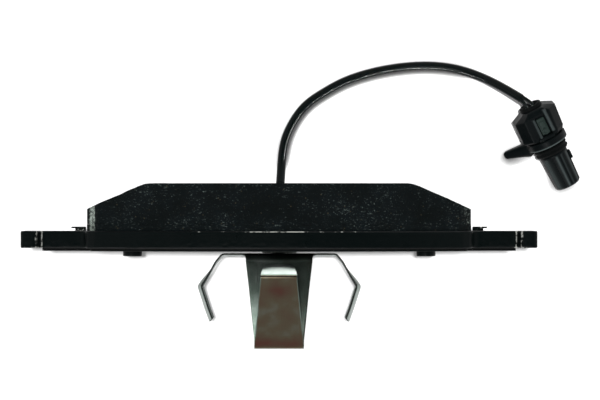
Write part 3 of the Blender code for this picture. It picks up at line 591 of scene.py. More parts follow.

# %% [markdown]
# ## Plastic and rubber
# The plug and the sensor's holder are moulded from black nylon filled with glass fibre, which gives a dull
# skin with a fine grain and paler scuffs on the corners. On the plug the same paler colour also lies in
# stripes along the barrel and round the lock ring's rim, as painted highlights. The sheath of the lead is
# extruded and almost glossy, with faint lumps in it. The seals are soft rubber, the most matt of them all.

# %% Moulded, extruded and soft
def moulded(name, base, scuffed, gloss, grain_size=0.3, grain_height=0.02, ior=1.53, marks=0.68, shine=0.3):
    """A moulded plastic or rubber: a grain in its skin, gloss that drifts, and scuffs, and painted highlights
    in the scuffed colour where the mesh's attribute carries them.
    """
    skin, tree, shader, where = material(name, base, gloss, ior=ior, shine=shine)
    drift = lumpy(tree, where, 4.0, 4.0, 0.6)
    scuffs = remap(tree, lumpy(tree, where, 1.1, 6.0, 0.75), marks, marks + 0.1)
    paler_here = worked(tree, "MAXIMUM", scuffs, attribute_here(tree))
    wire_up(tree, shader, lumpy(tree, where, grain_size, 3.0), grain_height,
            Base_Color=blended(tree, paler_here, base, scuffed),
            Roughness=remap(tree, drift, 0.3, 0.7, gloss - 0.07, gloss + 0.1))
    return skin


nylon = moulded("moulded_glass_filled_nylon", "#060a0b", "#434b4b", 0.34, shine=0.17)
green_nylon = moulded("moulded_dark_green_nylon", "#222c29", "#46544f", 0.36)
seal_rubber = moulded("moulded_seal_rubber", "#070909", "#1c1f1f", 0.62, 0.5, 0.03, 1.5, shine=0.15)
sheath_plastic = moulded("extruded_cable_sheath", "#040707", "#121616", 0.14, 0.9, 0.01, 1.5, 0.76, 0.25)
damping_rubber = moulded("calendered_damping_rubber", "#111111", "#26282a", 0.7, 0.5, 0.03)


def bare_metal(name, base, dull, gloss, size):
    """A small bare metal piece: one metal colour that drifts to a duller one."""
    metal, tree, shader, where = material(name, base, gloss, metallic=1.0)
    drift = lumpy(tree, where, size, 5.0, 0.6)
    wire_up(tree, shader, drift, 0.02, Base_Color=ramp(tree, drift, [(0.35, base), (0.7, dull)]))
    return metal


zinc = bare_metal("zinc_plated_rivet_steel", "#a7aaa6", "#6f7472", 0.38, 0.8)
copper = bare_metal("drawn_copper_wire", "#b4734a", "#7a4a30", 0.32, 0.6)
tin = bare_metal("tin_plated_contact", "#c9c4b4", "#8f8a7c", 0.28, 0.6)
print("plastics and metals:", nylon.name, zinc.name)

# %% [markdown]
# ## The backing plate
# Fine-blanking punches the plate out of 5 mm strip in one stroke. Its outline is an arc for the outer edge, a
# straight arm and a taller ear at each end, sloped sides, two feet and an arch. The outline is written once,
# for the right half, and mirrored. A quarter circle carried round both edges gives the soft corner that
# catches a thin line of light. Two pips half punched out of its back locate the shim.

# %% Outline and edge of the plate
HEIGHT = plate_high[2]
EAR_HALF = plate_high[0]
EDGE_RADIUS = 145.0
EDGE_CENTRE = HEIGHT - EDGE_RADIUS
BODY_HALF, ARM_HALF = 58.0, 71.3
EAR_Z, EAR_RISE, ARM_RISE = 39.5, 10.0, 5.5
FOOT_OUT, FOOT_IN, ARCH_TOP = 50.0, 37.0, 10.5
NOTCH_HALF, NOTCH_TOP = 3.0, 14.0
EAR_SLOPE = 1.6  # how far the step from the arm to the ear leans
GAP = 0.06  # pieces reach this far into the layer between them, so that no light shows through


def depths(node):
    """Where a solid begins and ends in t, the depth counted from the plate's front face."""
    low, high = box_mm(node)
    return low[1] - FRONT, high[1] - FRONT


SHIM_BACK, CLAW_FRONT = depths("shim_plate")
PLATE_BACK = depths("shim_damping_layer")[1] + GAP
PEG_BACK = depths("backing_plate")[0]


def arch(half, top, foot, start, steps=24):
    """The inner edge's arch, from its foot to x = start: a circle through both feet and the middle's top."""
    rise = top - foot
    radius = (half * half + rise * rise) / (2 * rise)
    return arc((0.0, top - radius), radius, math.acos(half / radius), math.acos(start / radius), steps)


def top_edge(half, drop=0.0, steps=40):
    """The outer edge's arc from its middle to x = half, moved in by the drop."""
    radius = EDGE_RADIUS - drop
    return arc((0.0, EDGE_CENTRE), radius, math.pi / 2, math.acos(half / radius), steps)


def plate_outline():
    """The whole outline: the right half's corners (x, z, radius), rounded, and the same mirrored."""
    side = [(*top_edge(55.0)[-1], 0), (BODY_HALF, 53.4, 2.5), (BODY_HALF - 0.4, EAR_Z + ARM_RISE, 3.0)]
    side += [(ARM_HALF, EAR_Z + ARM_RISE, 1.2), (ARM_HALF + EAR_SLOPE, EAR_Z + EAR_RISE, 1.0)]
    side += [(EAR_HALF, EAR_Z + EAR_RISE, 1.5), (EAR_HALF, EAR_Z - EAR_RISE, 1.5)]
    side += [(ARM_HALF + EAR_SLOPE, EAR_Z - EAR_RISE, 1.0), (ARM_HALF, EAR_Z - ARM_RISE, 1.2)]
    side += [(57.2, EAR_Z - ARM_RISE, 1.0), (FOOT_OUT, 0.0, 1.5), (FOOT_IN, 0.0, 0)]
    under = arch(FOOT_IN, ARCH_TOP, 0.0, NOTCH_HALF)
    notch = np.array([(NOTCH_HALF, NOTCH_TOP), (0.0, NOTCH_TOP)])
    return mirrored(np.concatenate([top_edge(55.0)[:-1], rounded(side)[:-1], under, notch]))


outline = evened(plate_outline(), 0.45)
plate = slab(outline, PLATE_BACK, 0.0, 0.4, middle=12)
# The punch shears the front two thirds of the wall smooth, and the back third tears and is a little rough.
torn = smoothstep(FRONT - plate[..., 1], 2.8, 3.6)
plate[3:-3, :, 2] += (0.07 * noise(plate, 0.8, 3) * torn)[3:-3]
# The back edge is rubbed most at the ears. Along the front edge the grey steel is laid thickest in the
# middle, as a painted highlight on its rounded corner. At the ears the paint has come off both corners of the
# step, more off the inner one.
from_middle = np.abs(outline[:, 0])
edge_wear_and_highlight = np.zeros(plate.shape[:2])
edge_wear_and_highlight[1:4] = 0.82 + 0.2 * smoothstep(from_middle, 66.0, 72.0)
edge_wear_and_highlight[-4:-1] = 1.25 - 0.26 * smoothstep(from_middle, 6, 11) - 0.17 * smoothstep(from_middle, 18, 40)
from_step = np.abs(from_middle - ARM_HALF - EAR_SLOPE / 2)
much = np.where(from_middle < ARM_HALF + EAR_SLOPE / 2, 1.3, 1.12)
edge_wear_and_highlight = np.maximum(edge_wear_and_highlight, much * (np.abs(from_step - EAR_SLOPE / 2) < 0.35))
PEG_X, PEG_Z, PEG_RADIUS = 44.6, 33.0, 2.9
peg_root = PLATE_BACK + 1
peg_profile = softened([(PEG_BACK, 0), (PEG_BACK, PEG_RADIUS), (peg_root, PEG_RADIUS), (peg_root, 0)], 0.35)
pegs = [lathe(peg_profile, (side * PEG_X, FRONT, PEG_Z), (0, 1, 0)) for side in (-1, 1)]
plate_wear = np.concatenate([edge_wear_and_highlight.ravel(), *(np.zeros(peg.shape[0] * peg.shape[1]) for peg in pegs)])
make("plate", [shell(plate), *(shell(peg) for peg in pegs)], plate_paint, slot="plate_paint",
     stands_for=["backing_plate"], wear=plate_wear)

# %% [markdown]
# ## The friction block
# The block has the plate's outline, a little smaller, but its face is cut back at both ends. Its front is a
# grid: columns run from the inner edge to the outer edge, rows run across, and the depth is a function of x.
# The walls carry the grid's border back to the plate. A smooth random vector moves every point a little, and
# because it depends on the place alone, the walls and the face still meet. Real grains this size stand proud.

# %% The block's outline and depth as functions
BLOCK_BACK, DEPTH = np.add(depths("friction_block"), (-GAP, 0.0))
INSET = 1.4
BLOCK_HALF, BLOCK_FOOT, BLOCK_TOP_HALF = 57.6, 49.2, 54.1
CORNER_Z = 49.9  # where the side turns in to the sloped corner
BLOCK_ARCH_HALF, BLOCK_ARCH_TOP = 38.0, 11.5
CHAMFER_HALF, CHAMFER_LOW = 39.8, 6.5
SCRAPED = (-56.8, -54.8)  # x of a pale band across the left end's sloped corner


def circle_height(x, top, radius):
    """z of a circle with its highest point at (0, top): top - R + sqrt(R^2 - x^2)."""
    return top - radius + np.sqrt(np.maximum(radius**2 - x**2, 0))


def block_plan(s, h):
    """x and z for s from -1, left, to 1, right, and h from 0, inner edge, to 1, outer edge.

    Each column is a straight line between the edges. The outermost ones bulge to the corner of the side.
    """
    arch_radius = (BLOCK_ARCH_HALF**2 + BLOCK_ARCH_TOP**2) / (2 * BLOCK_ARCH_TOP)
    low_x, high_x = s * BLOCK_FOOT, s * BLOCK_TOP_HALF
    low_z = np.maximum(circle_height(low_x, BLOCK_ARCH_TOP, arch_radius), 0.0)
    high_z = circle_height(high_x, HEIGHT - INSET, EDGE_RADIUS - INSET)
    corner = CORNER_Z / high_z
    straight = BLOCK_FOOT + (BLOCK_TOP_HALF - BLOCK_FOOT) * h
    side = np.where(h < corner, BLOCK_FOOT + (BLOCK_HALF - BLOCK_FOOT) * h / corner,
                    BLOCK_HALF + (BLOCK_TOP_HALF - BLOCK_HALF) * (h - corner) / (1 - corner))
    x = low_x + (high_x - low_x) * h + s * np.abs(s) ** 3 * (side - straight)
    return x, low_z + (high_z - low_z) * h


def block_depth(x):
    """Flat to the chamfer, then a straight slope, with the corner between them rounded by a soft minimum."""
    slope = (DEPTH - CHAMFER_LOW) / (BLOCK_HALF - CHAMFER_HALF)
    cut = (np.abs(x) - CHAMFER_HALF) * slope
    softness = 0.7
    return DEPTH - 0.5 * (cut + np.sqrt(cut * cut + softness * softness)) + softness * 0.1


def border_of(grid):
    """The outermost points of a grid, once round."""
    return np.concatenate([grid[0, :-1], grid[:-1, -1], grid[-1, :0:-1], grid[:0:-1, 0]])


def scraped_band(points):
    """1 in the pale band and 0 outside it."""
    return inside(points[..., 0], *SCRAPED, 0.8) * (points[..., 2] > CORNER_Z - 0.5)


# %% Make the block
COLUMNS, ROWS, LAYERS = 270, 120, 26
h_corner = CORNER_Z / circle_height(BLOCK_TOP_HALF, HEIGHT - INSET, EDGE_RADIUS - INSET)
h_line = np.r_[np.linspace(0, h_corner, ROWS - 14), np.linspace(h_corner, 1, 15)[1:]]
s_grid, h_grid = np.meshgrid(np.linspace(-1, 1, COLUMNS), h_line)
face_x, face_z = block_plan(s_grid, h_grid)
face = np.stack([face_x, block_depth(face_x) + FRONT, face_z], axis=-1)
border = border_of(face)
share = np.linspace(0, 1, LAYERS)[:, None, None]
foot = border.copy()
foot[:, 1] = BLOCK_BACK + FRONT
walls = foot * (1 - share) + border * share


def roughened(points):
    """Moves points by three noises: 0.12 mm over 4 mm, 0.07 mm over 1.2 mm and 0.05 mm over 0.6 mm."""
    for size, reach in ((4.0, 0.12), (1.2, 0.07), (0.6, 0.05)):
        points = points + reach * np.stack([noise(points, size, seed) for seed in (11, 12, 13)], axis=-1)
    return points


def chipped(points, nearness):
    """Pushes crumbled places of an edge back towards the middle of the block, up to 0.5 mm."""
    crumb = smoothstep(noise(points, 2.2, 21), 0.25, 0.8) * nearness
    middle = np.array([0.0, FRONT + DEPTH / 2, HEIGHT / 2])
    away = points - middle
    away = away / np.linalg.norm(away, axis=-1, keepdims=True)
    return points - 0.5 * crumb[..., None] * away


def bounded(points):
    """Keeps the roughened block inside the solid's own box."""
    low, high = box_mm("friction_block")
    return np.clip(points, low - (0.0, 0.1, 0.0), high)


near_border = np.zeros(face.shape[:2])
near_border[0] = near_border[-1] = 1.0
near_border[:, 0] = near_border[:, -1] = 1.0
near_front = np.zeros(walls.shape[:2])
near_front[-1] = 1.0
face_rough = bounded(chipped(roughened(face), near_border))
walls_rough = bounded(chipped(roughened(walls), near_front))
walls_rough[-1] = border_of(face_rough)
face_shell = shell(face_rough, wrap=False)
wall_points, wall_quads, wall_ends = shell(walls_rough)
scraped = 0.75 * smoothstep(np.abs(walls[..., 0]), 53.6, 55.5)
scraped = np.maximum(scraped, 1.02 * scraped_band(walls))
scraped = np.maximum(scraped, 0.75 * near_front)
scraped_face = np.maximum(0.75 * near_border, 0.95 * smoothstep(np.abs(face_x), 52.0, 56.5))
make("friction_pad", [face_shell, (wall_points, wall_quads, wall_ends[:1])], compound, slot="friction",
     stands_for=["friction_block"], sharp=50, wear=np.concatenate([scraped_face.ravel(), scraped.ravel()]))

# %% [markdown]
# ## The layers either side of the plate
# Between the plate and the friction compound lies a 2 mm underlayer of the same kind of material, and behind
# the plate a rubber layer and a thin steel shim damp squeal. The shim's arms are bent into hooks that reach
# under the arms of the plate, so it can't slide off. A hook is a strip carried along a path in t and z.

# %% Underlayer, shim and hooks
loop = border[::-1][:, (0, 2)]
under = slab(evened(loop, 0.5), *depths("friction_underlayer"), 0.05, 2)
rough = np.stack([noise(under, 0.9, seed) for seed in (31, 32, 33)], axis=-1) * (0.05, 0.0, 0.05)
make("underlayer", [shell(under + rough)], bonding, slot="underlayer", stands_for=["friction_underlayer"],
     sharp=50, wear=0.35 + 0.67 * scraped_band(under))

SHIM_FRONT = depths("shim_damping_layer")[0] - GAP
SHIM_HALF, SHIM_INSET, CLAW_IN, CLAW_STEM, CLAW_OUT = 71.4, 1.5, 58.7, 62.0, 62.95
CLAW_SHEET = 0.5
ARM_UNDER = EAR_Z - ARM_RISE


def shim_outline():
    """The shim follows the plate, a little smaller, and ends short of the ears."""
    start = top_edge(53.0, SHIM_INSET)
    body, root = BODY_HALF - SHIM_INSET, EAR_Z + ARM_RISE - 1.0
    side = [(*start[-1], 0), (body, start[-1][1] - 2.4, 2.0), (body, root, 2.5), (SHIM_HALF, root, 1.0)]
    side += [(SHIM_HALF, ARM_UNDER + 1.0, 1.0), (55.7, ARM_UNDER + 1.0, 1.0)]
    side += [(FOOT_OUT - SHIM_INSET, 2.0, 1.5), (FOOT_IN + 1.5, 2.0, 0)]
    under_edge = arch(FOOT_IN + 1.5, ARCH_TOP + 1.5, 2.0, 0.01)
    return mirrored(np.concatenate([start[:-1], rounded(side)[:-1], under_edge]))


def band(path, thickness, x_from, x_to, edge=0.06):
    """A sheet-metal strip: the path (t, z) is its middle, thickened along its normal, between two x."""
    along = np.gradient(path, axis=0)
    along /= np.linalg.norm(along, axis=1)[:, None]
    normal = np.stack([-along[:, 1], along[:, 0]], axis=1) * thickness / 2
    ring = [(x_from, 1 - edge * 2), (x_from + edge, 1), (x_to - edge, 1), (x_to, 1 - edge * 2)]
    corners = [(x, share) for x, share in ring] + [(x, -share) for x, share in ring[::-1]]
    rows = [np.c_[np.full(len(path), x), path + normal * side] for x, side in corners]
    grid = np.stack(rows, axis=1)
    grid[..., 1] += FRONT
    return grid


def hook(side):
    """The hook's two strips: one bends forward under the arm and up in front of it, one widens its lip."""
    floor = ARM_UNDER - 0.3 - CLAW_SHEET / 2
    back, front = SHIM_BACK + CLAW_SHEET / 2, CLAW_FRONT - CLAW_SHEET / 2
    path = rounded([(back, ARM_UNDER + 2.2, 0), (back, floor, 0.7), (front, floor, 0.7),
                    (front, ARM_UNDER + 3.7, 0)])
    lip = path[path[:, 1] > ARM_UNDER - 0.1]
    lip = lip[lip[:, 0] > 0]
    stem = band(path, CLAW_SHEET, *sorted((side * CLAW_IN, side * CLAW_STEM)))
    wide = band(lip, CLAW_SHEET * 0.98, *sorted((side * (CLAW_STEM - 0.5), side * CLAW_OUT)))
    return [shell(stem), shell(wide)]


shim = slab(evened(shim_outline(), 0.5), SHIM_BACK, SHIM_FRONT, 0.12, 2)
hooks = hook(-1) + hook(1)
shim_wear = [np.full(shim.shape[0] * shim.shape[1], 0.85), *(np.full(len(h[0]), 1.05) for h in hooks)]
make("shim", [shell(shim), *hooks], shim_paint, slot="shim_paint", stands_for=["shim_plate"],
     wear=np.concatenate(shim_wear))
damping = frame["nodes"]["shim_damping_layer"]
damping.data.materials.clear()
damping.data.materials.append(damping_rubber)

# %% [markdown]
# ## The clip
# The clip is one bent sheet. Its flat base is riveted to the plate. From the base's top edge a wide leg bends
# back and runs away from the plate, folds over and returns as a tongue with a turned-down lip. Two fingers
# leave the ends of the base. The tongue and fingers press into the hollow piston and hold the pad to it.
#
# The base, leg, fold and tongue are one surface here. Its rows follow a path in t and z with a half width for
# each row, and Solidify gives the sheet its thickness.

# %% Sheet with a thickness
SHEET = 0.55


def thicken(piece):
    """Gives a middle surface the sheet's thickness, with a dark cut edge and slightly broken corners."""
    piece.data.materials.append(cut_edge)
    wall = piece.modifiers.new("Sheet", "SOLIDIFY")
    wall.thickness = SHEET * MM
    wall.offset = 0.0
    wall.use_even_offset = True
    wall.material_offset_rim = 1
    edge = piece.modifiers.new("Edge", "BEVEL")
    edge.width = 0.06 * MM
    edge.segments = 2
    edge.limit_method = "ANGLE"
    edge.angle_limit = math.radians(60)


# %% Base, leg, fold and tongue
fold_joint = np.array(joints["tongue_flex"]["pos_m"]) / MM
base_low, base_high = box_mm("clip_base")
FOLD_T, FOLD_Z = fold_joint[1] - FRONT, fold_joint[2]
CLIP_T = base_high[1] - SHEET / 2 - FRONT
LOW, HIGH = base_low[2], base_low[2] + 15.0
PISTON_Z = (LOW + HIGH) / 2
ARM_END = base_high[0]
LEG_HALF, LEG_Z, LEG_BEND, FOLD_RADIUS, FOLD_HALF = 10.05, 43.4, 2.2, 1.35, 7.5
CREASE_T, CREASE_Z, CREASE_HALF, LIP_T, LIP_Z, LIP_CORNER = -13.7, 57.0, 5.5, -9.95, 55.9, 2.6
LEAN = 0.6  # how much further from the plate the base's lower edge stands


def leaning(z):
    """The base leans: nothing at its top edge, LEAN at its lower edge."""
    return CLIP_T - LEAN * (HIGH - z) / (HIGH - LOW)


def leg_and_tongue():
    """The path (t, z, half width) from the base's top edge to the tip of the lip."""
    bend = arc((CLIP_T - LEG_BEND, LEG_Z - LEG_BEND), LEG_BEND, 0, math.pi / 2, 10)
    leg_z = FOLD_Z - FOLD_RADIUS
    leg_t = np.linspace(CLIP_T - LEG_BEND, FOLD_T, 36)[1:-1]
    s = (CLIP_T - LEG_BEND - leg_t) / (CLIP_T - LEG_BEND - FOLD_T)
    leg = np.c_[leg_t, LEG_Z + (leg_z - LEG_Z) * s]
    away = math.hypot(CREASE_T - FOLD_T, CREASE_Z - FOLD_Z)
    rise = math.atan2(CREASE_Z - FOLD_Z, CREASE_T - FOLD_T) - math.asin(FOLD_RADIUS / away)
    turn = np.linspace(0, math.pi - rise, 18)
    fold = np.c_[FOLD_T - FOLD_RADIUS * np.sin(turn), FOLD_Z - FOLD_RADIUS * np.cos(turn)]
    straight = fold[-1] + (np.array([CREASE_T, CREASE_Z]) - fold[-1]) * np.linspace(0, 1, 44)[1:-2, None]
    crease = rounded([(*straight[-1], 0), (CREASE_T, CREASE_Z, 0.9), (LIP_T, LIP_Z, 0)], 6)[1:-1]
    closer = np.sin(np.linspace(0, math.pi / 2, 19))[1:, None]  # rows lie closest at the tip
    lip = crease[-1] + (np.array([LIP_T, LIP_Z]) - crease[-1]) * closer
    stretches = [bend, leg, fold, straight, crease, lip]
    path = np.concatenate(stretches)
    run = distance_along(path)
    marks = np.cumsum([len(rows) for rows in stretches]) - 1
    half = np.interp(run, [0, run[marks[0]], run[marks[0]] + 8, run[marks[1]], run[marks[2]], run[marks[3]]],
                     [LEG_HALF, LEG_HALF, 9.1, FOLD_HALF, FOLD_HALF, CREASE_HALF])
    flare = 1.3 * np.clip(1 - run / 2.6, 0, 1) ** 2
    corner = np.clip((run - run[-1]) / (1.4 * LIP_CORNER) + 1, 0, 1)
    return path, half + flare - LIP_CORNER * (1 - np.sqrt(1 - 0.97 * corner**2)), run, marks


path, half, run, marks = leg_and_tongue()
share = np.linspace(-1, 1, 33)
leg_grid = np.stack([half[:, None] * share, np.broadcast_to(path[:, :1] + FRONT, (len(path), 33)),
                     np.broadcast_to(path[:, 1:], (len(path), 33))], axis=-1)
# The sheet isn't flat. The leg is bowed by half a millimetre along its length, and both are crowned across.
after_fold = smoothstep(run, run[marks[2]], run[marks[2]] + 6)
before_fold = smoothstep(run, 1.0, 6.0) * (1 - smoothstep(run, run[marks[1]] - 8, run[marks[1]]))
along_leg = np.clip((run - run[marks[0]]) / (run[marks[1]] - run[marks[0]]), 0, 1)
leg_grid[..., 2] += (0.22 * after_fold[:, None] + 0.25 * before_fold[:, None]) * (1 - share**2)
leg_grid[..., 2] += 0.55 * np.sin(math.pi * along_leg)[:, None]
base_z = np.linspace(LOW, HIGH, 24)
root = half[0]
outwards = np.linspace(root, ARM_END, 12)[1:]
base_x = np.concatenate([-outwards[::-1], root * share, outwards])
base_y = leaning(base_z) + FRONT
base_grid = np.stack(np.broadcast_arrays(base_x[None, :], base_y[:, None], base_z[:, None]), axis=-1)

# %% The sheet as one mesh
base_shell = shell(base_grid, wrap=False)
leg_shell = shell(np.concatenate([base_grid[-1:, 11:-11], leg_grid[1:]]), wrap=False)
leg_run = np.broadcast_to(run[:, None], leg_grid.shape[:2])
base_tint = np.full(base_grid.shape[:2], 0.12)
on_tongue = smoothstep(leg_run, run[marks[1]] + 1.5, run[marks[2]] + 0.5)
crease_oxide_and_shade = np.exp(-(((leg_run - run[marks[3]] + 3.5) / 3.0) ** 2)) * np.exp(-((share / 0.75) ** 2))
near_fold = np.exp(-(((leg_run - run[marks[2]] - 1.0) / 2.2) ** 2))
lip_highlight = smoothstep(leg_run, run[marks[4]] - 0.1, run[marks[4]] + 0.7)
# Below the crease the oxide is redder, which also paints shade over the bright line the crease catches. The
# lip is painted clean and pale, a painted highlight where it turns towards the light.
leg_tint = 0.2 + on_tongue * (0.42 + 0.33 * crease_oxide_and_shade + 0.3 * near_fold) - 0.6 * lip_highlight * on_tongue
leg_tint[:, [0, -1]] -= 0.45 * on_tongue[:, [0, -1]]  # the corners are rubbed clean
# Away from the tongue the leg turns browner towards its right edge.
leg_tint += 0.12 * (1 - on_tongue) * smoothstep(share, 0.0, 1.0)
clip_tint = np.concatenate([base_tint.ravel(), leg_tint.ravel()])
sheet_uv = np.concatenate([np.c_[base_grid[..., 2].ravel(), base_grid[..., 0].ravel()],
                           np.c_[(leg_run + HIGH).ravel(), leg_grid[..., 0].ravel()]])
spring = make("clip_sheet", [base_shell, leg_shell], strip_steel, None, "spring_steel",
              ["clip_base", "clip_tongue"], 40, sheet_uv, tint=clip_tint)
thicken(spring)
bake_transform(spring)
print("clip:", round(run[-1], 1), "mm from the base to the lip")

# %% [markdown]
# The two fingers are mirror images. Each runs out from the base, back to its widest point, and in again to a
# rounded end. Where it meets the piston it is crowned across its width, to the radius of the piston's bore,
# so its middle stands out past its edges by w^2 / 2R. The path below is the finger's upper edge.

# %% Fingers
BORE_RADIUS = 24.5
HALF_WIDTH = (HIGH - LOW) / 2
FINGER = [(17.35, -7.2, 1.2), (19.25, -9.45, 4.0), (20.75, -12.3, 3.0), (23.45, -16.95, 0.8),
          (21.4, -23.4, 6.0)]  # x, t and radius of its bends
TIP = (20.2, -26.6)
END_BULGE = 1.0  # how much further the middle of the end reaches than its corners


def finger(side):
    """The finger's middle surface: its upper edge's path, carried down across the width."""
    root = np.array(joints[f"finger_{'left' if side < 0 else 'right'}_flex"]["pos_m"]) / MM
    start = (abs(root[0]), root[1] - FRONT, 0)
    path = rounded([start, *FINGER, (*TIP, 0)], 10)
    run = distance_along(path)
    at = np.linspace(0, run[-1], 90)
    x, t = resampled(path, run, at).T[..., None]
    w = np.linspace(-1, 1, 33)[None, :]
    crown = smoothstep(-t, 10.5, 16.5) * HALF_WIDTH**2 / (2 * BORE_RADIUS) * (1 - w * w)
    lean = LEAN * (1 - w) / 2 * (1 - smoothstep(-t, 7.5, 12.5))
    reach = END_BULGE * (1 - w * w) * smoothstep(at[:, None], run[-1] - 5.0, run[-1])
    inward = 0.34 * reach  # the end keeps to the slope of the stretch before it
    grid = np.stack(np.broadcast_arrays(side * (x + crown - inward), t - lean - reach + FRONT,
                                        PISTON_Z + HALF_WIDTH * w), axis=-1)
    return grid, at


for label, side in (("left", -1), ("right", 1)):
    grid, at = finger(side)
    uv = np.stack(np.broadcast_arrays(at[:, None], grid[..., 2]), axis=-1).reshape(-1, 2)
    tint = np.broadcast_to(0.08 + 0.1 * np.sin(at / 6.0)[:, None] ** 2, grid.shape[:2])
    piece = make(f"clip_{label}_finger", [shell(grid, wrap=False)], strip_steel, f"finger_{label}",
                 "spring_steel", [f"clip_finger_{label}"], 40, uv, tint=tint)
    thicken(piece)

# %% [markdown]
# A rivet through the base holds the clip, with a washer that keeps the clip clear of the shim. Its head was
# spun down by a riveting tool, which leaves a low dome with a small dimple. Both are turned profiles.

# %% Rivet and washer
RIVET_RADIUS, HEAD_RADIUS, HEAD_RISE, WASHER_RADIUS = 2.0, 3.9, 1.25, 5.3
head_seat = leaning(PISTON_Z) - SHEET / 2 - 0.02
dome = [(head_seat - HEAD_RISE * math.cos(turn), HEAD_RADIUS * math.sin(turn))
        for turn in np.linspace(0.42, math.pi / 2, 12)]
dimple = [(head_seat - HEAD_RISE + 0.45, 0), (head_seat - HEAD_RISE + 0.4, 0.7)]
shank = [(PLATE_BACK + 2.4, RIVET_RADIUS), (PLATE_BACK + 2.4, 0)]
rivet = [*dimple, *dome, (head_seat, HEAD_RADIUS - 0.1), (head_seat, RIVET_RADIUS), *shank]
make("rivet", [shell(lathe(rivet, (0, FRONT, PISTON_Z), (0, 1, 0)), caps=False)], zinc, slot="zinc_steel",
     stands_for=["clip_rivet"])
washer_back, washer_front = leaning(PISTON_Z) + SHEET / 2 + 0.3, SHIM_BACK - 0.03
ring = [(washer_back, 2.2), (washer_back, WASHER_RADIUS - 0.15), (washer_back + 0.15, WASHER_RADIUS),
        (washer_front - 0.15, WASHER_RADIUS), (washer_front, WASHER_RADIUS - 0.15), (washer_front, 2.2)]
ring_grid = lathe(ring + ring[:1], (0, FRONT, PISTON_Z), (0, 1, 0))
make("washer", [shell(ring_grid, caps=False)], zinc, slot="zinc_steel", stands_for=["clip_washer"])

# %% [markdown]
# ## The wear sensor
# A nylon holder sits in the arch and reaches up into the friction block. A loop of copper wire lies in its
# nose, and when the pad has worn down, the disc cuts the loop and a lamp lights on the dashboard. The rubber
# sleeve at its foot keeps the lead from kinking.

# %% Holder, loop and sleeve
held_low, held_high = box_mm("sensor_housing")
loop_low, loop_high = box_mm("sensor_contact_loop")
sleeve_start, sleeve_end = np.array([0.0, FRONT + 9.5, 7.4]), np.array([0.12, FRONT + 14.1, 5.15])
PROBE_HALF, PROBE_FROM, BLOCK_TOP, LUG_HALF, LUG_TOP = 3.2, 10.2, 10.6, 2.7, 13.6
holder = [
    rounded_box((-PROBE_HALF, FRONT + 0.4, PROBE_FROM), (PROBE_HALF, held_high[1], held_high[2]), 0.35),
    rounded_box((held_low[0], FRONT + 0.8, held_low[2]), (held_high[0], FRONT + 9.2, BLOCK_TOP), 0.6),
    rounded_box((-LUG_HALF, held_low[1], BLOCK_TOP - 1.8), (LUG_HALF, FRONT + 1.5, LUG_TOP), 0.4),
    rounded_box((held_low[0] + 0.9, FRONT + 2.2, held_low[2] - 0.02),
                (held_high[0] - 0.9, FRONT + 7.2, BLOCK_TOP), 0.3),
]
make("sensor_holder", [shell(box) for box in holder], nylon, slot="nylon", stands_for=["sensor_housing"])
bend = arc((0.0, loop_high[2] - 2.0), 1.6, math.pi, 0.0, 24)
wire_x = np.r_[-1.6, bend[:, 0], 1.6]
wire_z = np.r_[loop_low[2], bend[:, 1], loop_low[2]]
wire_y = np.full(len(wire_x), loop_high[1] - 0.4)
loop_wire = cord_curve("sensor_loop", np.c_[wire_x, wire_y, wire_z], 0.8, 4)
finish_piece(loop_wire, copper, "pad", ["sensor_contact_loop"])
long = float(np.linalg.norm(sleeve_end - sleeve_start))
ribs = [(0.28 * long, 2.45), (0.33 * long, 2.0), (0.5 * long, 2.0), (0.55 * long, 2.25), (0.62 * long, 2.2)]
sleeve = [(0, 0), (0, 2.5), *ribs, (0.67 * long, 1.85), (0.78 * long, 1.85), (0.82 * long, 2.0),
          (0.9 * long, 1.9), (long, 1.6), (long, 0)]
boot = make("sensor_boot", [shell(lathe(softened(sleeve, 0.12), sleeve_start, sleeve_end - sleeve_start))],
            seal_rubber, slot="seal_rubber", stands_for=["sensor_sleeve"])

# %% [markdown]
# ## The plug
# The plug is drawn in a frame of its own: a runs along its axis from the lead's entry, b across it and n
# upwards. The locking ring turns about that axis, so the ring's joint gives the frame: its axis is -a, and
# the joint sits where the ring starts. The head is a tube of varying section: its rows run along a, and its
# columns round a flat-sided section. Heights are added to that grid for its recess and its two rails.

# %% The plug's frame
RING_FROM, RING_TO = 10.0, 12.4
ring_joint = joints["ring_turn"]
plug_a = -np.array(ring_joint["axis"]) / np.linalg.norm(ring_joint["axis"])
plug_b = np.array([-plug_a[1], plug_a[0], 0.0])
plug_b /= np.linalg.norm(plug_b)
plug_n = np.cross(plug_a, plug_b)
plug_start = np.array(ring_joint["pos_m"]) / MM - RING_FROM * plug_a


def in_plug(grid):
    """Turns points (a, b, n) in the plug's frame into places in the pad's frame."""
    return plug_start + grid @ np.stack([plug_a, plug_b, plug_n])


def plug_lathe(profile, sides=96):
    """A profile of (a, radius) turned about the plug's axis."""
    angle = np.linspace(0, 2 * math.pi, sides, endpoint=False)
    profile = np.array(profile)
    a = np.broadcast_to(profile[:, :1], (len(profile), sides))
    return np.stack([a, profile[:, 1:] * np.cos(angle), profile[:, 1:] * np.sin(angle)], axis=-1)


print("plug starts at", np.round(plug_start, 1), "mm")

# %% Head of the plug
HEAD_END = 9.6
SECTION_HALF = 7.0
SECTION = [(7.0, -3.4), (7.0, 2.4), (4.34, 5.3), (-4.34, 5.3), (-7.0, 2.4), (-7.0, -3.4), (-4.76, -6.4),
           (4.76, -6.4)]


def section(count, radius):
    """The head's section as (share of the half width, n), clockwise, with rounded corners."""
    middle = ((SECTION[-1][0] + SECTION[0][0]) / 2, (SECTION[-1][1] + SECTION[0][1]) / 2)
    chain = rounded([(*middle, 0), *((b, n, radius) for b, n in SECTION), (*middle, 0)], 6)[:-1]
    way_round = distance_along(np.r_[chain, chain[:1]])[-1]
    return evened(chain, 1e-3 + way_round / count) / (SECTION_HALF, 1)


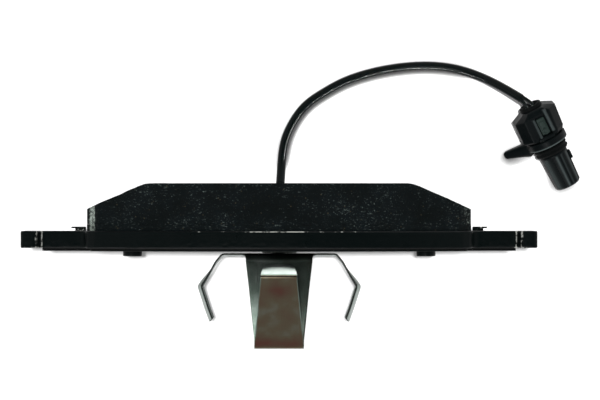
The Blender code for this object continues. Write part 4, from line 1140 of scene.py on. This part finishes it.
def head_grid(rows=90, count=260):
    """Half widths follow the outline on each side, and the ends are drawn in over the last 0.4 mm."""
    a = np.linspace(-0.1, HEAD_END, rows)
    right = np.interp(a, [-0.1, 1.5, HEAD_END - 1.2, HEAD_END], [3.9, 7.05, 6.55, 5.9])
    left = np.interp(a, [-0.1, 0.4, 1.9, HEAD_END - 0.8, HEAD_END], [3.4, 3.9, 7.0, 7.2, 6.4])
    shape = section(count, 0.7)
    across = np.where(shape[:, 0] > 0, right[:, None] * shape[:, 0], left[:, None] * shape[:, 0])
    ends = np.sqrt(np.clip(1 - np.clip(1 - np.minimum(a + 0.1, HEAD_END - a) / 0.5, 0, 1) ** 2, 0, 1))
    draw = (0.9 + 0.1 * ends)[:, None]
    n = shape[:, 1] * np.interp(a, [-0.1, 1.6, HEAD_END], [0.86, 1.0, 1.0])[:, None]
    return np.stack([np.broadcast_to(a[:, None], across.shape), across * draw, n * draw], axis=-1)


head = head_grid()
a, b, n = head[..., 0], head[..., 1], head[..., 2]
on_top = n > 4.0
recess = inside(a, 2.2, 9.2, 0.25) * inside(b, -0.9, 2.2, 0.25)
rail_right = inside(a, 0.8, 8.2, 0.5) * inside(b, 2.35, 3.35, 0.5)
rail_left = inside(a, 2.4, 9.3, 0.5) * inside(b, -1.9, -1.0, 0.4)
head[..., 2] += np.where(on_top, 0.75 * rail_right + 0.4 * rail_left - 1.9 * recess, 0.0)
head_wear = np.where(on_top, 0.55 * rail_right + 0.4 * rail_left, 0.0)
head_shell = shell(in_plug(head))
print("head:", head.shape, "grid")

# %% [markdown]
# The barrel plugs into a round socket. It has flats and grooves along it, so its radius is a function of the
# angle: R(a) - depth where the angle lies in a groove. The contacts stand in two bores in its end, so its end
# face is a disc of its own, a square grid bent round into a disc, that dips where the bores are.

# %% Barrel, end face and nub
BARREL_END, BARREL_RADIUS, TIP_RADIUS = 27.0, 4.45, 4.0
NECK_RADIUS, SEAL_SEAT, SEAL_FROM, SEAL_TO = 4.9, 4.1, 12.8, 15.4
BORE_OFFSET, BORE_WIDE, BORE_DEPTH = 1.9, 0.95, 7.5
AROUND = 192
# The angle and width in degrees of each painted highlight stripe and each groove, and its strength or its
# depth.
HIGHLIGHT_STRIPES = ((145, 16, 0.55), (90, 5, 0.75), (66, 4, 0.3), (38, 6, 0.6))
GROOVES = ((64, 9, 0.3), (100, 11, 0.35), (142, 9, 0.3), (20, 9, 0.3), (-60, 16, 0.35), (-120, 16, 0.35))


def finer(chain, count):
    """The same chain with that many more points spread along it."""
    run = distance_along(chain)
    return resampled(chain, run, np.union1d(run, np.linspace(0, run[-1], count)))


def barrel_profile():
    """(a, radius) of the neck, the seat of the ring seal, and the barrel to its end."""
    body = [(HEAD_END - 1.0, NECK_RADIUS), (SEAL_FROM - 0.2, NECK_RADIUS), (SEAL_FROM - 0.2, SEAL_SEAT),
            (SEAL_TO + 0.2, SEAL_SEAT), (SEAL_TO + 0.2, BARREL_RADIUS), (BARREL_END - 0.5, TIP_RADIUS),
            (BARREL_END, TIP_RADIUS - 0.45)]
    return finer(softened(body, 0.18), 60)


barrel = plug_lathe(barrel_profile(), AROUND)
degrees = np.degrees(np.arctan2(barrel[..., 2], barrel[..., 1]))
groove = sum(depth * (1 - smoothstep(np.abs((degrees - middle + 180) % 360 - 180), wide * 0.6, wide))
             for middle, wide, depth in GROOVES)
along = smoothstep(barrel[..., 0], SEAL_TO + 0.9, SEAL_TO + 1.3)
along = along * (1 - smoothstep(barrel[..., 0], BARREL_END - 0.6, BARREL_END - 0.4))
barrel[..., 1:] *= 1 - (groove * along / BARREL_RADIUS)[..., None]
# The paler scuffed colour laid in stripes along the barrel's upper side is painted highlight.
highlight_stripes = sum(much * np.exp(-(((degrees - middle) / wide) ** 2)) for middle, wide, much in HIGHLIGHT_STRIPES)
barrel_wear = highlight_stripes * smoothstep(barrel[..., 0], SEAL_TO + 0.6, SEAL_TO + 1.2)


def disc(radius, side):
    """A square grid bent into a disc: each square ring of the grid becomes a circle."""
    line = np.linspace(-1, 1, side + 1)
    u, v = np.meshgrid(line, line)
    big = np.where(np.abs(u) > np.abs(v), u, v)
    small = np.where(np.abs(u) > np.abs(v), v, u)
    turn = np.divide(small, big, out=np.zeros_like(big), where=np.abs(big) > 0) * math.pi / 4
    first, second = big * np.cos(turn), big * np.sin(turn)
    x = np.where(np.abs(u) > np.abs(v), first, second)
    y = np.where(np.abs(u) > np.abs(v), second, first)
    return radius * x, radius * y


disc_b, disc_n = disc(TIP_RADIUS - 0.45, AROUND // 4)
from_bore = np.minimum(np.hypot(disc_b - BORE_OFFSET, disc_n), np.hypot(disc_b + BORE_OFFSET, disc_n))
dip = BORE_DEPTH * (1 - smoothstep(from_bore, BORE_WIDE - 0.05, BORE_WIDE + 0.05))
end_face = np.stack([BARREL_END - dip, disc_b, disc_n], axis=-1)
barrel_points, barrel_quads, barrel_ends = shell(in_plug(barrel))
nub = rounded_box((17.0, 3.2, -1.0), (19.8, 5.0, 1.0), 0.35)
latch = rounded_box((8.7, -2.6, 4.2), (9.9, 2.6, 5.9), 0.3)
plug_shells = [head_shell, (barrel_points, barrel_quads, barrel_ends[:1]),
               shell(in_plug(end_face), wrap=False), shell(in_plug(nub)), shell(in_plug(latch))]
plug_wear = np.zeros(sum(len(points) for points, _, _ in plug_shells))
plug_wear[: head_wear.size] = head_wear.ravel()
plug_wear[len(head_shell[0]) :][: barrel_wear.size] = barrel_wear.ravel()
make("plug_body", plug_shells, nylon, slot="nylon", stands_for=["connector_body"], sharp=38, wear=plug_wear)

# %% [markdown]
# Small pieces on the plug: the insert that locks the contacts, with its round moulded detail, the grommet
# that the two cores pass through, the ring seal with its two lips, and the ring whose lever locks the plug.

# %% Insert, grommet and seal
insert_box = rounded_box((3.0, -0.75, 3.6), (8.4, 1.9, 4.45), 0.25)
insert_step = rounded_box((4.0, -0.4, 4.2), (6.2, 1.5, 4.9), 0.25)
angle = np.linspace(0, 2 * math.pi, 48, endpoint=False)
button = np.array(softened([(0, 0), (0, 0.95), (0.75, 0.95), (0.75, 0.6), (0.45, 0.55), (0.45, 0)], 0.08))
button_a, button_b = 7.4 + button[:, 1:] * np.cos(angle), 0.6 + button[:, 1:] * np.sin(angle)
button_grid = np.stack(np.broadcast_arrays(button_a, button_b, 4.3 + button[:, :1]), axis=-1)
make("plug_insert", [shell(in_plug(insert_box)), shell(in_plug(insert_step)), shell(in_plug(button_grid))],
     green_nylon, slot="green_nylon", stands_for=["connector_lock_insert"])
dish = softened([(0.9, 0), (0.9, 1.3), (-0.5, 2.3), (-1.25, 2.75), (-1.4, 3.1), (-1.2, 3.5), (0.3, 3.6),
                 (2.2, 3.6), (2.2, 0)], 0.25)
grommet = make("plug_grommet", [shell(in_plug(plug_lathe(dish)), caps=False)], seal_rubber,
               slot="seal_rubber", stands_for=["connector_grommet"])
middle, quarter = (SEAL_FROM + SEAL_TO) / 2, (SEAL_TO - SEAL_FROM) / 4
lips = [(SEAL_FROM, SEAL_SEAT + 0.1), (SEAL_FROM, 4.9), (middle - quarter, 5.4), (middle, 4.95),
        (middle + quarter, 5.4), (SEAL_TO, 4.9), (SEAL_TO, SEAL_SEAT + 0.1)]
seal_profile = np.concatenate([softened(lips, 0.22), np.array(lips[:1])])
make("plug_seal", [shell(in_plug(plug_lathe(seal_profile)), caps=False)], seal_rubber, slot="seal_rubber",
     stands_for=["connector_seal"])

# %% Locking ring and its lever
RING_RADIUS, LEVER_REACH, LEVER_DROP = 6.35, 15.4, math.radians(28)
collar = [(RING_FROM, NECK_RADIUS + 0.1), (RING_FROM, RING_RADIUS), (RING_TO, RING_RADIUS),
          (RING_TO, NECK_RADIUS + 0.1)]
collar_profile = finer(np.concatenate([softened(collar, 0.35, 5), np.array(collar[:1])]), 40)
# A narrow band at the ring's far rim takes the paler scuffed colour as a painted highlight.
rim_highlight = inside(collar_profile[:, 0], RING_TO - 0.45, RING_TO - 0.02, 0.1)
rim_highlight = rim_highlight * (collar_profile[:, 1] > RING_RADIUS - 0.4)
reach = np.linspace(5.0, LEVER_REACH - 1.0, 40)
reach = np.r_[reach, LEVER_REACH - 1.0 + np.sin(np.linspace(0, 1.5, 12))[1:]]
lever_half = np.interp(reach, [5.0, 6.2, 8.0, LEVER_REACH - 1.0], [3.2, 2.2, 1.75, 1.0])
lever_wide = np.interp(reach, [5.0, 6.4, 9.0, LEVER_REACH], [1.2, 2.3, 1.85, 1.05])
closing = np.sqrt(np.clip(1 - np.clip(reach - LEVER_REACH + 1.0, 0, 1) ** 2, 0.0, 1))
around = np.linspace(0, 2 * math.pi, 48, endpoint=False)
superellipse = np.stack([np.sign(np.cos(around)) * np.abs(np.cos(around)) ** 0.4,
                         np.sign(np.sin(around)) * np.abs(np.sin(around)) ** 0.4], axis=1)
out = np.array([0.0, -math.cos(LEVER_DROP), -math.sin(LEVER_DROP)])
across = np.array([0.0, out[2], -out[1]])
thick = lever_wide * closing
centre_a = (RING_FROM + RING_TO) / 2 + 0.5 * (lever_wide - 0.95)
lever = (centre_a[:, None, None] * np.array([1.0, 0, 0]) + reach[:, None, None] * out
         + (thick[:, None] * superellipse[:, 0])[..., None] * np.array([1.0, 0, 0])
         + ((lever_half * closing)[:, None] * superellipse[:, 1])[..., None] * across)
ring_shells = [shell(in_plug(plug_lathe(collar_profile)), caps=False), shell(in_plug(lever))]
ring_wear = np.zeros(sum(len(points) for points, _, _ in ring_shells))
ring_wear[: 96 * len(rim_highlight)] = np.repeat(rim_highlight, 96)
make("lock_ring", ring_shells, nylon, "ring", "nylon", ["locking_ring"], wear=ring_wear)
for name in ("terminal_left", "terminal_right"):
    terminal = frame["nodes"][name]
    terminal.data.materials.clear()
    terminal.data.materials.append(tin)

# %% [markdown]
# Where the sheath ends, the two cores run apart into the grommet. They follow the lead's own route, moved
# sideways by a distance that grows with the square of the way along.

# %% Cores, and the lead's facts
finish_piece(sheath, sheath_plastic, "pad", ["cable"])
core_line = stretch(sheath_length - 1.0, route_length - 0.6, 30)
spread = 0.62 + 0.45 * np.linspace(0, 1, 30)[:, None] ** 2
for label, side in (("left", -1), ("right", 1)):
    core = cord_curve(f"lead_core_{label}", core_line + side * spread * plug_b, CORE_WIDTH, 5)
    finish_piece(core, sheath_plastic, "pad", [f"core_wire_{label}"])

# %% [markdown]
# ## Floor and light
# The key light is small and stands almost straight overhead, so shadows stay close to what casts them, and
# the pale floor burns out to white. It's polarised, and the camera has the crossed filter, so it isn't seen
# in the black surfaces: they keep their depth. What they do mirror is the room, a dim band of wall with a
# dark ceiling above it and one pale patch in that ceiling. The camera itself looks past the room at white.
#
# The rest is light for one thing at a time, by light linking. A card behind the pad lights only the clip, and
# two low cards light only the plate, the shim, the block and the underlayer. Three strips lay the thin
# highlight along the lead, and the pad, which stands between them and the lead, doesn't shade them.
#
# Right beside the lead and the plug the floor has a narrow painted shadow. The Ambient Occlusion node
# darkens the floor's colour there for the camera, and a tilted normal keeps it to one side. The plug stands
# off the floor, so the shadow is wider there than beside the lead, and it falls on the other side. Light that
# bounces off the floor, and its reflections, see a plain grey instead.

# %% Floor
FADE_FROM, FADE_TO = 60 * MM, 78 * MM  # x between which the lead's edge of shadow turns into the plug's
LEAD_SHADE, PLUG_SHADE = 1.8 * MM, 3.6 * MM  # how wide each is
floor_mesh = bpy.data.meshes.new("floor")
reach = 3000.0 * MM
floor_mesh.from_pydata([(-reach, -reach, 0), (reach, -reach, 0), (reach, reach, 0), (-reach, reach, 0)], [],
                       [(0, 1, 2, 3)])
floor = bpy.data.objects.new("floor", floor_mesh)
bpy.context.scene.collection.objects.link(floor)
paper, tree, shader, where = material("matt_white_paper_with_painted_shadow", "#efefef", 0.9, shine=0.0)
floor_x = add(tree, "SeparateXYZ", {"Vector": where}).outputs["X"]
wide = remap(tree, floor_x, FADE_FROM, FADE_TO, LEAD_SHADE, PLUG_SHADE)
tilt = remap(tree, floor_x, FADE_FROM, FADE_TO, -0.42, 0.4)
normal = add(tree, "CombineXYZ", {"X": tilt, "Y": 0.62, "Z": 0.66}).outputs[0]
shade = add(tree, "AmbientOcclusion", {"Distance": wide, "Normal": normal}, samples=8).outputs["AO"]
# A painted shadow: the floor's colour is darkened where the occlusion is.
painted_shadow = ramp(tree, shade, [(0.5, 0.08), (0.8, 0.45), (1.0, 0.9)])
seen = add(tree, "LightPath").outputs["Is Camera Ray"]
tree.links.new(blended(tree, seen, "#a8a8a8", painted_shadow), shader.inputs["Base Color"])
floor_mesh.materials.append(paper)
floor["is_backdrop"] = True

# %% Light
PATCH, PATCH_POWER = (-0.17, -0.45, 0.877), 1.75  # its direction
PATCH_RIM, PATCH_CORE = 0.935, 0.985  # cosine of the angle from its middle to where it starts and is full
WALL = [(0.0, 0.35), (0.45, 0.4), (0.7, 0.3), (0.88, 0.08), (1.0, 0.02)]  # brightness at sine of elevation
world = bpy.data.worlds.new("studio")
bpy.context.scene.world = world
world.use_nodes = True
sky = world.node_tree
direction = add(sky, "TexCoord").outputs["Generated"]
wall = ramp(sky, add(sky, "SeparateXYZ", {"Vector": direction}).outputs["Z"], WALL)
nearness = add(sky, "VectorMath", {0: direction, 1: PATCH}, operation="DOT_PRODUCT").outputs["Value"]
patch = remap(sky, nearness, PATCH_RIM, PATCH_CORE, 0.0, PATCH_POWER, interpolation_type="SMOOTHSTEP")
seen = add(sky, "LightPath").outputs["Is Camera Ray"]
room = add(sky, "Mix", {"Factor": seen, 2: worked(sky, "ADD", wall, patch), 3: 1.0}).outputs[0]
sky.links.new(room, sky.nodes["Background"].inputs["Color"])


def lamp(kind, name, place, power, mirrored_too=True):
    """A lamp at a place in metres, turned to the middle of the pad. mirrored_too shows it in reflections."""
    light = bpy.data.lights.new(name, kind)
    light.energy = power
    light_object = bpy.data.objects.new(name, light)
    light_object.location = place
    toward = Vector((0, 0, 0.03)) - Vector(place)
    light_object.rotation_euler = toward.to_track_quat("-Z", "Y").to_euler()
    light_object.visible_glossy = mirrored_too
    bpy.context.scene.collection.objects.link(light_object)
    return light


lamp("SUN", "key", (0.0, 0.045, 1.5), 3.9, mirrored_too=False).angle = math.radians(2.5)


def only_in(lamp_name, pieces, shaded=True):
    """A lamp that only these pieces receive. Unless it's shaded, it shines past the other pieces, like a card
    that is held between them."""
    left_out = bpy.data.collections.new(lamp_name)
    for piece in list(bpy.context.scene.objects):
        if piece.type in ("MESH", "CURVE") and piece.name not in pieces:
            left_out.objects.link(piece)
    for entry in left_out.collection_objects:
        entry.light_linking.link_state = "EXCLUDE"
    linking = bpy.data.objects[lamp_name].light_linking
    linking.receiver_collection = left_out
    if not shaded:
        linking.blocker_collection = left_out
        bpy.data.objects[lamp_name].data.cycles.use_multiple_importance_sampling = False


def panel(name, place, power, size, pieces, shaded=True):
    """A flat rectangular lamp, size in metres, that only these pieces receive."""
    light = lamp("AREA", name, place, power)
    light.shape = "RECTANGLE"
    light.size, light.size_y = size
    only_in(name, pieces, shaded)


CLIP = ("clip_sheet", "clip_left_finger", "clip_right_finger")
LEAD = ("lead_sheath", "lead_core_left", "lead_core_right")
PAD = ("plate", "shim", "friction_pad", "underlayer")
panel("card_behind", (0.0, 0.8, 1.15), 2.2, (0.8, 0.35), CLIP)
STRIPS = (("strip_right", -10, 26.0), ("strip_near", -72, 22.0), ("strip_left", -128, 13.0))
for name, azimuth, power in STRIPS:
    turn = math.radians(azimuth)
    panel(name, (1.1 * math.cos(turn), 1.1 * math.sin(turn), 0.56), power, (1.1, 0.15), LEAD, shaded=False)
panel("card_front", (0.4, 1.3, 0.25), 8.0, (1.2, 0.5), PAD)
panel("card_rear", (-0.4, -1.3, 0.25), 8.0, (1.2, 0.5), PAD)
bpy.context.scene.view_settings.view_transform = "Standard"

# %% Sizes, and the end
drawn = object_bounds()
sizes = {"cad": [list(corner) for corner in CAD_BOX], "visual": [list(corner) for corner in drawn]}
for part, (low, high) in sizes.items():
    print(part, [round((b - a) * 1000, 1) for a, b in zip(low, high)], "mm")
